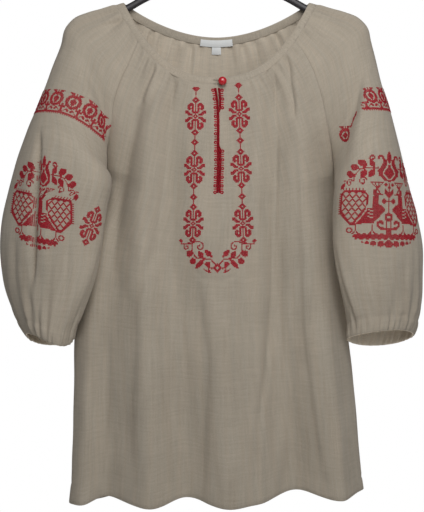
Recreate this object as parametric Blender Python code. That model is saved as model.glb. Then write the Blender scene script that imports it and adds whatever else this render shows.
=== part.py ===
"""A gathered linen peasant blouse with raglan sleeves, hanging on its hanger.

Run with: blender --background --python part.py, or from Blender's text editor.

The blouse is cut as a front with a neck slit, a back and two raglan sleeves, gathered into a narrow neck
band. A loop and a ball button close the band, and two blank labels are sewn inside the back of the neck.
Each piece of cloth is a wall of even thickness on a mid surface. Every mid surface is a grid of points
(s, t): t is 0 at the neck band, 1 at the underarm and 2 at the hem or cuff, and s runs across the piece.
Seams that two pieces share are read from the same curve, so the pieces meet with an even gap.

Axes: +X is to the right seen from the front, -Y is the front, +Z is up. Left and right are those of
someone who faces the blouse. The origin is the inside top of the hook, where it hangs on a rod.
Sizes are in millimetres until a mesh is made. The heights in the tables are from the top of the shoulders.
"""

import math

import bpy
import numpy as np

MM = 0.001

# Cloth
WALL = 1.5  # thickness of the cloth walls
BAND_WALL = 3.0  # the neck band is folded, so it is thicker
SEAM_GAP = 0.3  # clear gap between neighbouring pieces
UNDERARM_GAP = 3.4  # body and sleeve part by this much where all four seams meet
LEFT, RIGHT = -1, 1
TURN = {"front": 1, "back": -1, "sleeve_left": -1, "sleeve_right": 1}  # -1 where s runs the other way round

# Neck opening
NECK_TIP_BELOW_HOOK = 121.0  # height of the shoulder tops under the inside of the hook
NECK_HALF_WIDTH = 134.0
FRONT_DROP, FRONT_ROUND = 111.0, 2.5  # depth of the scoop and the power that shapes it
BACK_DROP, BACK_ROUND = 46.0, 1.9
FRONT_STAND, BACK_STAND = 30.0, 22.0  # how far the opening stands off the hanger's plane at its middle
BAND_WIDTH = 12.0
SHOULDER_SLOPE = math.radians(17.0)
FRONT_SEAM_ANGLE = math.radians(51.0)  # where the raglan seams meet the band, round the opening
BACK_SEAM_ANGLE = math.radians(132.0)

# Neck slit: half its gap at the band and lower down. It ends where the front's t is 1.
SLIT_TOP_HALF_GAP, SLIT_HALF_GAP = 1.6, 0.4
EDGING_WIDTH, EDGING_WALL = 2.4, 1.2

# Mesh fineness: rows above the underarm, rows below it, and columns
UPPER_ROWS, LOWER_ROWS = 8, 9
SLEEVE_LOWER_ROWS = 11
FRONT_COLUMNS, BACK_COLUMNS, SLEEVE_COLUMNS, BAND_SEGMENTS = 36, 30, 26, 56


class Table:
    """Rows of named columns; a column is read between its rows by a smooth curve (cubic Hermite)."""

    def __init__(self, names, *rows):
        self.names = names.split()
        self.data = np.array(rows, float)

    def __call__(self, name, t):
        at = self.data[:, 0]
        value = self.data[:, self.names.index(name)]
        slope = np.gradient(value, at)
        t = np.clip(t, at[0], at[-1])
        i = np.clip(np.searchsorted(at, t, side="right") - 1, 0, len(at) - 2)
        h = at[i + 1] - at[i]
        u = (t - at[i]) / h
        rise = u * u * (3 - 2 * u)
        ease_in = u * (1 - u) ** 2 * h * slope[i]
        ease_out = u * u * (u - 1) * h * slope[i + 1]
        return value[i] + rise * (value[i + 1] - value[i]) + ease_in + ease_out


# Raglan and side seams: x is the distance from the middle, y the depth (front is minus), z the height.
FRONT_RAGLAN = {}
FRONT_RAGLAN[LEFT] = Table(
    "t x y z",
    (0.00, 115, -17, -60),
    (0.20, 127, -22, -91),
    (0.40, 138, -26, -118),
    (0.60, 147, -27, -148),
    (0.80, 152, -22, -184),
    (0.92, 158, -8, -212),
    (1.00, 163, 6, -236),
)
FRONT_RAGLAN[RIGHT] = Table(
    "t x y z",
    (0.00, 115, -17, -60),
    (0.20, 130, -22, -82),
    (0.40, 141, -27, -108),
    (0.60, 151, -29, -142),
    (0.80, 160, -24, -184),
    (0.92, 168, -8, -220),
    (1.00, 174, 6, -246),
)
BACK_RAGLAN = {}
BACK_RAGLAN[LEFT] = Table(
    "t x y z",
    (0.00, 106, 15, -34),
    (0.20, 119, 21, -66),
    (0.40, 131, 27, -100),
    (0.60, 142, 31, -138),
    (0.80, 152, 30, -182),
    (0.92, 159, 20, -213),
    (1.00, 163, 6, -236),
)
BACK_RAGLAN[RIGHT] = Table(
    "t x y z",
    (0.00, 106, 15, -34),
    (0.20, 121, 21, -66),
    (0.40, 134, 27, -102),
    (0.60, 146, 31, -143),
    (0.80, 160, 30, -190),
    (0.92, 169, 20, -224),
    (1.00, 174, 6, -246),
)
SIDE_SEAM = {}
SIDE_SEAM[LEFT] = Table(
    "t x y z",
    (1.00, 163, 6, -236),
    (1.05, 164, 18, -250),
    (1.15, 173, 31, -280),
    (1.32, 194, 32, -335),
    (1.50, 203, 31, -400),
    (1.68, 207, 24, -475),
    (1.84, 208, 12, -590),
    (1.94, 210, 4, -680),
    (2.00, 213, 0, -724),
)
SIDE_SEAM[RIGHT] = Table(
    "t x y z",
    (1.00, 174, 6, -246),
    (1.05, 174, 18, -260),
    (1.15, 178, 30, -290),
    (1.32, 186, 30, -345),
    (1.50, 189, 29, -408),
    (1.68, 192, 22, -480),
    (1.84, 202, 10, -590),
    (1.94, 209, 3, -675),
    (2.00, 213, 0, -704),
)

# Middle line of the front and back, how each row rises to its seams, and how square it is in plan.
FRONT_ROWS = Table(
    "t y z rise squareness",
    (0.0, -32, -123, 2.2, 2.0),
    (0.4, -36, -170, 2.0, 2.6),
    (0.7, -38, -222, 2.0, 3.6),
    (1.0, -38, -276, 2.0, 5.0),
    (1.3, -37, -354, 2.0, 5.5),
    (1.5, -36, -420, 2.0, 5.2),
    (1.7, -35, -495, 2.0, 5.0),
    (2.0, -33, -715, 2.0, 5.0),
)
BACK_ROWS = Table(
    "t y z rise squareness",
    (0.0, 25, -58, 2.0, 2.0),
    (0.4, 33, -120, 2.0, 2.4),
    (0.7, 38, -190, 2.0, 3.0),
    (1.0, 41, -258, 2.0, 3.0),
    (1.3, 42, -345, 2.0, 4.0),
    (1.5, 42, -416, 2.0, 4.5),
    (1.7, 40, -490, 2.0, 5.0),
    (2.0, 34, -710, 2.0, 6.0),
)

# Folds that fall from the neck band to the hem. x is where each runs at four heights, depth how far it
# stands forward (plus) or back (minus) of the panel at the chest and at the hem, width its half width.
FOLD_HEIGHTS = (-110.0, -300.0, -500.0, -730.0)
FRONT_FOLDS = Table(
    "fold x_neck x_chest x_waist x_hem chest hem width",
    (0, -128, -176, -196, -207, 0, 11, 26),
    (1, -108, -142, -152, -160, -5, -21, 25),
    (2, -84, -108, -100, -92, 8, 20, 30),
    (3, -62, -66, -56, -42, -5, -13, 28),
    (4, -30, -20, 8, 20, 4, 24, 38),
    (5, 86, 84, 92, 116, -9, -24, 32),
    (6, 62, 58, 60, 66, 4, 6, 18),
    (7, 112, 128, 150, 186, 6, 19, 34),
)
BACK_FOLDS = Table(
    "fold x_neck x_chest x_waist x_hem chest hem width",
    (0, -112, -150, -168, -180, 7, 20, 30),
    (1, -70, -96, -104, -118, -6, -18, 28),
    (2, -34, -40, -44, -52, 6, 22, 34),
    (3, 10, 14, 18, 20, -5, -17, 28),
    (4, 52, 60, 68, 86, 7, 23, 32),
    (5, 84, 112, 126, 144, -6, -17, 26),
    (6, 116, 150, 172, 192, 5, 13, 26),
)

# Sleeves. The outer line is the silhouette: the top of the shoulder, then the outside of the sleeve.
OUTER_LINE = {}
OUTER_LINE[LEFT] = Table(
    "t x z",
    (0.00, 145.5, -3.5),
    (0.12, 166, -8.5),
    (0.25, 188, -14.5),
    (0.36, 208, -24),
    (0.44, 220, -39),
    (0.52, 225, -60),
    (0.62, 235, -86),
    (0.75, 247, -120),
    (0.88, 260, -153),
    (1.00, 273, -184),
    (1.12, 286, -220),
    (1.27, 300, -268),
    (1.40, 309, -304),
    (1.55, 313, -345),
    (1.70, 310, -388),
    (1.82, 303, -425),
    (1.92, 290, -458),
    (1.97, 281, -474),
    (2.00, 275, -482),
)
OUTER_LINE[RIGHT] = Table(
    "t x z",
    (0.00, 145.5, -3.5),
    (0.12, 165, -8.5),
    (0.25, 187, -14),
    (0.36, 207, -23),
    (0.44, 219, -37),
    (0.52, 223, -56),
    (0.62, 230, -84),
    (0.75, 238, -118),
    (0.88, 249, -152),
    (1.00, 259, -188),
    (1.12, 268, -226),
    (1.27, 281, -276),
    (1.40, 291, -312),
    (1.55, 298, -354),
    (1.70, 298, -395),
    (1.82, 297, -428),
    (1.92, 292, -457),
    (1.97, 288, -472),
    (2.00, 284, -481),
)
# The sleeve's own seam, on the inner side of the tube below the underarm.
SLEEVE_SEAM = {}
SLEEVE_SEAM[LEFT] = Table(
    "t x y z",
    (1.00, 163, 6, -236),
    (1.08, 158, -8, -246),
    (1.18, 156, -18, -264),
    (1.30, 159, -24, -291),
    (1.45, 164, -26, -324),
    (1.60, 169, -27, -358),
    (1.75, 178, -26, -402),
    (1.86, 191, -22, -438),
    (1.95, 203, -18, -469),
    (2.00, 207, -16, -482),
)
SLEEVE_SEAM[RIGHT] = Table(
    "t x y z",
    (1.00, 174, 6, -246),
    (1.08, 174, -8, -262),
    (1.18, 172, -18, -284),
    (1.30, 170, -24, -311),
    (1.45, 170, -26, -337),
    (1.60, 172, -27, -364),
    (1.75, 178, -26, -405),
    (1.86, 185, -24, -442),
    (1.95, 189, -22, -471),
    (2.00, 189, -22, -486),
)
# Cross sections: the turn of each half round from the outer line to its seam (180 is half round),
# the depth of each half, how late the row drops to the seam, and the depth of the outer line.
SLEEVE_SECTIONS = Table(
    "t front_turn back_turn front_depth back_depth lateness outer_y",
    (0.00, 90, 90, 18, 15, 1.0, 0),
    (0.25, 92, 92, 22, 22, 1.0, 0),
    (0.50, 102, 100, 32, 30, 1.3, 0),
    (0.75, 128, 122, 44, 36, 2.0, 0),
    (0.90, 165, 150, 48, 32, 2.6, 0),
    (1.00, 200, 160, 50, 26, 2.8, 0),
    (1.08, 205, 155, 50, 20, 2.6, 1),
    (1.18, 205, 155, 50, 26, 2.0, 2),
    (1.35, 200, 160, 47, 40, 1.4, 4),
    (1.60, 200, 160, 46, 40, 1.0, 4),
    (1.80, 198, 162, 46, 40, 1.0, 2),
    (2.00, 190, 170, 42, 38, 1.0, 0),
)
# Cuff rims: how far the front rises and the back drops, and how far the front leans to the outside.
CUFF_RIMS = {LEFT: (-4.0, 16.0, 8.0), RIGHT: (12.0, 14.0, 1.0)}
CUFF_EXTRA_DEPTH = {LEFT: 8.0, RIGHT: -3.0}

# Hanger: its arms are one bar, in sections along x; height is that of the bar's middle.
HANGER_BAR = Table(
    "x height half_height half_thick",
    (0, 52.0, 15.0, 8.0),
    (9, 50.5, 14.0, 8.0),
    (22, 44.0, 9.5, 6.5),
    (45, 34.5, 7.2, 5.5),
    (75, 21.5, 6.4, 5.0),
    (105, 6.5, 6.0, 4.8),
    (134, -9.8, 6.0, 4.8),
    (166, -19.0, 6.0, 5.2),
    (187, -26.2, 6.0, 5.4),
    (200, -33.0, 6.2, 5.2),
)
BAR_SAMPLES, BAR_SIDES = 56, 12
BAR_END = 6.0  # the round ends reach this much further
HUB_TOP = 66.0  # height of the hub's flat top
COLLAR_RADIUS, COLLAR_HEIGHT = 4.2, 5.0
WIRE_RADIUS, HOOK_RADIUS = 1.75, 20.0  # the hook's radius is that of its inside
HOOK_START_ANGLE, HOOK_END_ANGLE = math.radians(-52.0), math.radians(200.0)
HOOK_SIDES = 12

# Button, its loop and the labels
BUTTON_X, BUTTON_HEIGHT = 8.3, -118.0
BUTTON_RADIUS, BUTTON_HALF_DEPTH = 6.2, 4.8
SHANK_RADIUS, SHANK_LENGTH = 1.5, 2.4
BAND_CLEARANCE = 0.9  # the band's face leans, so what stands on it starts this far out
LOOP_RADIUS, LOOP_REACH, LOOP_START = 0.6, 2.9, -5.0
NECK_LABEL = {"width": 45.0, "top": 4.0, "bottom": 14.0}
SIZE_LABEL = {"width": 12.0, "top": 14.4, "bottom": 25.0}
LABEL_WALL = 1.0


def smooth(u):
    """0 below 0, 1 above 1, and an even S between."""
    u = np.clip(u, 0.0, 1.0)
    return u * u * (3 - 2 * u)


def stack(x, y, z):
    return np.stack(np.broadcast_arrays(x, y, z), axis=-1).astype(float)


# ---------------------------------------------------------------- the neck opening


def neck_edge(angle):
    """Edge of the opening: an ellipse in plan, dropping to the middle of the front (angle 0) and back."""
    across, ahead = np.sin(angle), np.cos(angle)
    front = ahead > 0
    x = NECK_HALF_WIDTH * across
    y = -np.where(front, FRONT_STAND, BACK_STAND) * ahead
    front_z = -FRONT_DROP * (1 - np.abs(across) ** FRONT_ROUND)
    back_z = -BACK_DROP * (1 - np.abs(across) ** BACK_ROUND)
    return stack(x, y, np.where(front, front_z, back_z))


def neck_outward(angle):
    """Unit direction from the opening's edge down into the cloth, turning along the shoulder at its tips."""
    across, ahead = np.sin(angle), np.cos(angle)
    side = np.sign(across)
    size = np.abs(across)
    front_slope = FRONT_DROP * FRONT_ROUND * size ** (FRONT_ROUND - 1) / NECK_HALF_WIDTH
    back_slope = BACK_DROP * BACK_ROUND * size ** (BACK_ROUND - 1) / NECK_HALF_WIDTH
    slope = np.where(ahead > 0, front_slope, back_slope)
    tip = size**14
    length = np.sqrt(1 + slope**2)
    x = side * ((1 - tip) * slope / length + tip * math.cos(SHOULDER_SLOPE))
    z = -((1 - tip) / length + tip * math.sin(SHOULDER_SLOPE))
    y = -0.22 * ahead * (1 - tip)
    outward = stack(x, y, z)
    return outward / np.linalg.norm(outward, axis=-1, keepdims=True)


def band_line(angle, down):
    """The line at a distance below the opening's edge, on the mid surface of the band."""
    return neck_edge(angle) + np.asarray(down)[..., None] * neck_outward(angle)


def seam_start(side, angle):
    return band_line(side * angle, BAND_WIDTH + SEAM_GAP)


# ---------------------------------------------------------------- seams


def seam_point(table, side, t, start=None):
    """A point of a seam table, eased onto its exact start on the neck band where it has one."""
    points = stack(side * table("x", t), table("y", t), table("z", t))
    if start is not None:
        first = np.array([side * table("x", 0.0), table("y", 0.0), table("z", 0.0)])
        points += (1 - smooth(np.asarray(t) / 0.4))[..., None] * (start - first)
    return points


def underarm_parting(side, t, outwards):
    """Moves a seam sideways near the underarm: the body inwards (-1) and the sleeve outwards (+1)."""
    bell = np.exp(-(((np.asarray(t) - 1.0) / 0.09) ** 2))
    return stack(side * outwards * UNDERARM_GAP / 2 * bell, 0.0, outwards * UNDERARM_GAP / 4 * bell)


def raglan_seam(tables, side, t, angle):
    return seam_point(tables[side], side, np.minimum(t, 1.0), seam_start(side, angle))


def body_seam(tables, side, t, angle):
    """The body's edge: a raglan seam down to the underarm, then the side seam."""
    above = raglan_seam(tables, side, t, angle)
    below = seam_point(SIDE_SEAM[side], side, np.maximum(t, 1.0))
    return np.where((t <= 1.0)[..., None], above, below) + underarm_parting(side, t, -1)


def sleeve_seam(tables, side, t, angle):
    """The sleeve's edge: a raglan seam down to the underarm, then the sleeve's own seam."""
    above = raglan_seam(tables, side, t, angle)
    below = seam_point(SLEEVE_SEAM[side], side, np.maximum(t, 1.0))
    return np.where((t <= 1.0)[..., None], above, below) + underarm_parting(side, t, 1)


def front_seam(side, t):
    return body_seam(FRONT_RAGLAN, side, t, FRONT_SEAM_ANGLE)


def back_seam(side, t):
    return body_seam(BACK_RAGLAN, side, t, BACK_SEAM_ANGLE)


# ---------------------------------------------------------------- front and back


def fold_depth(folds, x, z):
    """Sum of the vertical folds: each a bell across its line, growing from the band to the hem."""
    total = np.zeros(np.broadcast(x, z).shape)
    heights = np.array(FOLD_HEIGHTS[::-1])
    fall = np.clip((FOLD_HEIGHTS[0] - z) / (FOLD_HEIGHTS[0] - FOLD_HEIGHTS[-1]), 0.0, 1.0)
    onset = smooth((-z - 70.0) / 90.0)
    for _, x_neck, x_chest, x_waist, x_hem, chest, hem, width in folds.data:
        line = np.interp(z, heights, (x_hem, x_waist, x_chest, x_neck))
        depth = chest + (hem - chest) * fall**1.3
        spread = width * (0.55 + 0.45 * fall)
        total += onset * depth * np.exp(-(((x - line) / spread) ** 2))
    return total


def panel_shape(s, t, seam, rows):
    """A smooth panel from seam to seam.

    Across a row x follows a sine, so points crowd at the sides. Height runs from the middle to the seam
    as a power of x, and depth as a superellipse that rounds the side seam over lower down.
    """
    left, right = seam(LEFT, t), seam(RIGHT, t)
    bend = np.radians(51.0 + 24.0 * smooth(t))
    across = np.sin((2 * s - 1) * bend) / np.sin(bend)
    share, size = (1 + across) / 2, np.abs(across)
    near = np.where((across < 0)[..., None], left, right)
    x = left[..., 0] + share * (right[..., 0] - left[..., 0])
    z = rows("z", t) + (near[..., 2] - rows("z", t)) * size ** rows("rise", t)
    roundness = 1.0 - 0.5 * smooth((t - 0.8) / 1.1)
    swell = np.maximum(1 - size ** rows("squareness", t), 0.0) ** roundness
    seam_y = left[..., 1] + share * (right[..., 1] - left[..., 1])
    return stack(x, seam_y + (rows("y", t) - seam_y) * swell, z), smooth((1 - size) / 0.16)


def panel(s, t, seam, rows, folds, facing, neck_angles):
    """The panel with its folds, eased onto the neck band; a fold that stands out also hangs lower."""
    s, t = np.broadcast_arrays(np.asarray(s, float), np.asarray(t, float))
    points, inside = panel_shape(s, t, seam, rows)
    fold = inside * fold_depth(folds, points[..., 0], points[..., 2])
    points += stack(0.0, facing * fold, -0.38 * fold * smooth((t - 1.6) / 0.4))
    first, last = neck_angles
    at_neck = band_line(first + (last - first) * s, BAND_WIDTH + SEAM_GAP)
    first_row, _ = panel_shape(s, np.zeros_like(t), seam, rows)
    return points + (1 - smooth(t / 0.45))[..., None] * (at_neck - first_row)


def front_surface(s, t):
    return panel(s, t, front_seam, FRONT_ROWS, FRONT_FOLDS, -1, (-FRONT_SEAM_ANGLE, FRONT_SEAM_ANGLE))


def back_surface(s, t):
    """The back too runs from the left seam to the right one, round the back of the opening."""
    angles = (2 * math.pi - BACK_SEAM_ANGLE, BACK_SEAM_ANGLE)
    return panel(s, t, back_seam, BACK_ROWS, BACK_FOLDS, 1, angles)


# ---------------------------------------------------------------- sleeves


def sleeve_half(side, t, share, seam, facing):
    """One half of each sleeve ring, from the outer line (share 0) to the seam (share 1).

    It is part of an ellipse: x goes by the cosine of the turn, depth by its sine, and the rest of the
    depth and the height run out to the seam with x.
    """
    half = "front" if facing < 0 else "back"
    turn = np.radians(SLEEVE_SECTIONS(half + "_turn", t))
    depth = SLEEVE_SECTIONS(half + "_depth", t) + CUFF_EXTRA_DEPTH[side] * smooth((t - 1.75) / 0.25)
    outer = stack(side * OUTER_LINE[side]("x", t), SLEEVE_SECTIONS("outer_y", t), OUTER_LINE[side]("z", t))
    run = (1 - np.cos(turn * share)) / (1 - np.cos(turn))
    left_over = seam[..., 1] - outer[..., 1] - facing * depth * np.sin(turn)
    x = outer[..., 0] + (seam[..., 0] - outer[..., 0]) * run
    y = outer[..., 1] + facing * depth * np.sin(turn * share) + left_over * run
    drop = np.maximum(run, 0) ** SLEEVE_SECTIONS("lateness", t)
    return stack(x, y, outer[..., 2] + (seam[..., 2] - outer[..., 2]) * drop)


def sleeve_rings(side, s, t):
    front_end = sleeve_seam(FRONT_RAGLAN, side, t, FRONT_SEAM_ANGLE)
    back_end = sleeve_seam(BACK_RAGLAN, side, t, BACK_SEAM_ANGLE)
    front = sleeve_half(side, t, np.clip(1 - 2 * s, 0, 1), front_end, -1)
    back = sleeve_half(side, t, np.clip(2 * s - 1, 0, 1), back_end, 1)
    return np.where((s <= 0.5)[..., None], front, back)


def sleeve_surface(side, s, t):
    """A sleeve: s is 0 at the front seam, 0.5 on the outer line and 1 at the back seam.

    Above the underarm the two seams are the raglan seams; below it both are the sleeve's own seam.
    """
    s, t = np.broadcast_arrays(np.asarray(s, float), np.asarray(t, float))
    points = sleeve_rings(side, s, t)
    angle = side * (FRONT_SEAM_ANGLE + (BACK_SEAM_ANGLE - FRONT_SEAM_ANGLE) * s)
    at_neck = band_line(angle, BAND_WIDTH + SEAM_GAP)
    first_row = sleeve_rings(side, s, np.zeros_like(t))
    points = points + (1 - smooth(t / 0.35))[..., None] * (at_neck - first_row)
    return points + cuff_rim(side, s, t) + sleeve_overlap(side, s, points)


def cuff_rim(side, s, t):
    """Raises or drops the cuff's rim round the ring, which starts and ends at the sleeve's seam."""
    front_rise, back_drop, lean = CUFF_RIMS[side]
    ring = 2 * math.pi * s
    wave = np.where(s < 0.5, front_rise * np.sin(ring) - lean * np.sin(2 * ring), back_drop * np.sin(ring))
    return stack(0.0, 0.0, wave * smooth((t - 1.65) / 0.35) ** 1.5)


# The edge of the sleeve's tube where it stands in front of the raglan part, down to the underarm.
OVERLAP = {}
OVERLAP[LEFT] = Table(
    "height x step",
    (-250, 154, 0),
    (-215, 157, 7),
    (-185, 166, 11),
    (-140, 178, 10),
    (-110, 190, 6),
    (-70, 206, 0),
)
OVERLAP[RIGHT] = Table(
    "height x step",
    (-262, 174, 0),
    (-240, 182, 0),
    (-197, 194, 10),
    (-160, 206, 14),
    (-125, 212, 9),
    (-80, 219, 0),
)


def sleeve_overlap(side, s, points):
    """The front of the tube steps forward along its overlapping edge, and the edge leans inwards."""
    table = OVERLAP[side]
    height = np.clip(points[..., 2], table.data[0, 0], table.data[-1, 0])
    step = table("step", height) * smooth((0.5 - s) / 0.08) * smooth(s / 0.06)
    outside = side * points[..., 0] - table("x", height)
    proud = smooth(outside / 14.0 + 0.5) * np.exp(-np.maximum(outside, 0) / 45.0)
    sunk = np.exp(-(((outside + 12.0) / 11.0) ** 2))
    lean = np.exp(-(((outside - 4.0) / 10.0) ** 2))
    return stack(-side * 0.3 * step * lean, step * (0.45 * sunk - 0.8 * proud), 0.0)


# ---------------------------------------------------------------- turning surfaces into walls


def grid_normals(points):
    """Unit normals of a grid of points, from the differences along its two directions."""
    along_s = np.gradient(points, axis=1)
    along_t = np.gradient(points, axis=0)
    normal = np.cross(along_t, along_s)
    return normal / np.maximum(np.linalg.norm(normal, axis=-1, keepdims=True), 1e-9)


def tidy_direction(vector):
    return vector / np.maximum(np.linalg.norm(vector, axis=-1, keepdims=True), 1e-9)


def share_seam_normals(first, second):
    """Gives two edges that meet in a seam the same wall direction."""
    mean = tidy_direction(first + second)
    first[...] = mean
    second[...] = mean


class Wall:
    """Collects the vertices and faces of one cloth wall around a grid of mid points."""

    def __init__(self, points, normals, thickness, turned=False):
        rows, columns = points.shape[:2]
        half = thickness / 2 * normals
        self.turned = turned
        self.outer = np.arange(rows * columns).reshape(rows, columns)
        self.inner = self.outer + rows * columns
        self.vertices = np.concatenate([(points + half).reshape(-1, 3), (points - half).reshape(-1, 3)])
        self.faces = []

    def weld(self, kept, dropped):
        """The dropped column's vertices become the kept column's, on both faces of the wall."""
        for layer in (self.outer, self.inner):
            layer[dropped] = layer[kept]

    def skin(self, columns):
        """Both faces of the wall over a range of columns."""
        for layer, flip in ((self.outer, False), (self.inner, True)):
            part = layer[:, columns]
            a, b = part[:-1, :-1], part[:-1, 1:]
            c, d = part[1:, 1:], part[1:, :-1]
            quads = (a, d, c, b) if not flip else (a, b, c, d)
            self.faces.append(np.stack([q.ravel() for q in quads], axis=1))

    def rim(self, rows, columns, flip=False):
        """The strip that closes the wall along one edge of the grid."""
        outer, inner = self.outer[rows, columns].ravel(), self.inner[rows, columns].ravel()
        quads = (outer[:-1], outer[1:], inner[1:], inner[:-1])
        if flip:
            quads = quads[::-1]
        self.faces.append(np.stack(quads, axis=1))

    def close_round(self):
        """Both faces and all four edges of a plain strip."""
        self.skin(slice(None))
        self.rim(slice(None), 0, flip=True)
        self.rim(slice(None), -1)
        self.rim(0, slice(None))
        self.rim(-1, slice(None), flip=True)

    def mesh(self, name):
        faces = np.concatenate(self.faces)
        if self.turned:
            faces = faces[:, ::-1]
        used = np.unique(faces)
        place = np.full(len(self.vertices), -1)
        place[used] = np.arange(len(used))
        vertices = self.vertices[used] * MM
        vertices[:, 2] -= NECK_TIP_BELOW_HOOK * MM
        made = bpy.data.meshes.new(name)
        made.from_pydata(vertices.tolist(), [], place[faces].tolist())
        made.validate()
        made.update()
        return made


def inset(points, t, column, towards):
    """Moves one edge column of a grid a little way into its own piece, and more so at the underarm."""
    rows = slice(0, len(t))
    step = tidy_direction(points[rows, towards] - points[rows, column])
    gap = 0.8 * SEAM_GAP * (1 + np.exp(-(((t - 1.05) / 0.12) ** 2)))
    points[rows, column] += gap[:, None] * step


# ---------------------------------------------------------------- Blender objects


def material(name, colour, roughness, metallic=0.0):
    made = bpy.data.materials.new(name)
    made.use_nodes = True
    shader = made.node_tree.nodes["Principled BSDF"]
    shader.inputs["Base Color"].default_value = (*colour, 1.0)
    shader.inputs["Roughness"].default_value = roughness
    shader.inputs["Metallic"].default_value = metallic
    made.diffuse_color = (*colour, 1.0)
    return made


def add_object(name, mesh, finish, parent, smooth_angle=None):
    obj = bpy.data.objects.new(name, mesh)
    bpy.context.collection.objects.link(obj)
    obj.parent = parent
    mesh.materials.append(finish)
    if smooth_angle is not None:
        mesh.shade_smooth()
        mesh.set_sharp_from_angle(angle=smooth_angle)
    return obj


# ---------------------------------------------------------------- cloth pieces


def body_rows():
    upper = np.linspace(0.0, 1.0, UPPER_ROWS + 1)
    return np.concatenate([upper, np.linspace(1.0, 2.0, LOWER_ROWS + 1)[1:]])


def sleeve_rows():
    upper = np.linspace(0.0, 1.0, UPPER_ROWS + 1)
    return np.concatenate([upper, np.linspace(1.0, 2.0, SLEEVE_LOWER_ROWS + 1)[1:]])


def front_columns():
    """Columns of the front, with the middle one twice for the two edges of the neck slit."""
    columns = np.linspace(0.0, 1.0, FRONT_COLUMNS + 1)
    middle = FRONT_COLUMNS // 2
    return np.insert(columns, middle, columns[middle]), middle


def cloth_grids():
    """Mid surfaces and normals of the four pieces, with shared directions and gaps at their seams."""
    rows, ring_rows = body_rows(), sleeve_rows()
    columns, middle = front_columns()
    grids = {
        "front": front_surface(columns[None, :], rows[:, None]),
        "back": back_surface(np.linspace(0, 1, BACK_COLUMNS + 1)[None, :], rows[:, None]),
        "sleeve_left": sleeve_surface(LEFT, np.linspace(0, 1, SLEEVE_COLUMNS + 1)[None, :], ring_rows[:, None]),
        "sleeve_right": sleeve_surface(RIGHT, np.linspace(0, 1, SLEEVE_COLUMNS + 1)[None, :], ring_rows[:, None]),
    }
    normals = {name: TURN[name] * grid_normals(grid) for name, grid in grids.items()}
    normals["front"][:, middle] = normals["front"][:, middle - 1]
    normals["front"][:, middle + 1] = normals["front"][:, middle + 2]
    for name in ("sleeve_left", "sleeve_right"):
        edge = normals[name]
        share_seam_normals(edge[UPPER_ROWS:, 0], edge[UPPER_ROWS:, -1])
        column = 0 if name == "sleeve_left" else -1
        share_seam_normals(edge[:UPPER_ROWS, 0], normals["front"][:UPPER_ROWS, column])
        share_seam_normals(edge[:UPPER_ROWS, -1], normals["back"][:UPPER_ROWS, column])
    for column in (0, -1):
        share_seam_normals(normals["front"][UPPER_ROWS:, column], normals["back"][UPPER_ROWS:, column])
    for name in grids:
        t = rows if name in ("front", "back") else rows[: UPPER_ROWS + 1]
        inset(grids[name], t, 0, 1)
        inset(grids[name], t, -1, -2)
    return grids, normals, rows, middle


def open_slit(grid, rows, middle):
    """Parts the two middle columns of the front above the end of the slit, widest at the neck."""
    half = SLIT_HALF_GAP + (SLIT_TOP_HALF_GAP - SLIT_HALF_GAP) * (1 - smooth(rows / 0.25))
    above = rows < 1.0
    grid[above, middle, 0] -= half[above]
    grid[above, middle + 1, 0] += half[above]
    return int(above.sum())


def add_front(grid, normal, middle, first_closed, finish, parent):
    wall = Wall(grid, normal, WALL)
    last = grid.shape[1] - 1
    wall.weld((slice(first_closed, None), middle), (slice(first_closed, None), middle + 1))
    wall.skin(slice(0, middle + 1))
    wall.skin(slice(middle + 1, last + 1))
    wall.rim(slice(None), 0, flip=True)
    wall.rim(slice(None), last)
    cut = slice(0, first_closed + 1)
    wall.rim(cut, middle)
    wall.rim(cut, middle + 1, flip=True)
    for columns in (slice(0, middle + 1), slice(middle + 1, last + 1)):
        wall.rim(0, columns)
        wall.rim(-1, columns, flip=True)
    return add_object("front", wall.mesh("front"), finish, parent, math.radians(50))


def add_back(grid, normal, finish, parent):
    wall = Wall(grid, normal, WALL, turned=True)
    wall.close_round()
    return add_object("back", wall.mesh("back"), finish, parent, math.radians(50))


def add_sleeve(name, grid, normal, finish, parent):
    wall = Wall(grid, normal, WALL, turned=TURN[name] < 0)
    joined = slice(UPPER_ROWS, None)
    wall.weld((joined, 0), (joined, -1))
    wall.skin(slice(None))
    raglan = slice(0, UPPER_ROWS + 1)
    wall.rim(raglan, 0, flip=True)
    wall.rim(raglan, -1)
    wall.rim(0, slice(None))
    wall.rim(-1, slice(None), flip=True)
    return add_object(name, wall.mesh(name), finish, parent, math.radians(50))


def add_slit_edging(name, grid, normal, middle, first_closed, side, finish, parent):
    """A strip along one edge of the slit, made from the front's points there and moved out."""
    edge, inner = (middle, middle - 1) if side == LEFT else (middle + 1, middle + 2)
    rows = slice(0, first_closed)
    across = grid[rows, inner] - grid[rows, edge]
    width = np.linalg.norm(across, axis=-1, keepdims=True)
    lift = (WALL / 2 + SEAM_GAP + EDGING_WALL / 2) * normal[rows, edge]
    columns = [grid[rows, edge] + across * (EDGING_WIDTH * share / width) + lift for share in (0.0, 0.5, 1.0)]
    if side == LEFT:
        columns.reverse()
    strip = np.stack(columns, axis=1)
    wall = Wall(strip, np.repeat(normal[rows, edge][:, None], 3, axis=1), EDGING_WALL)
    wall.close_round()
    return add_object(name, wall.mesh(name), finish, parent, math.radians(35))


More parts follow.
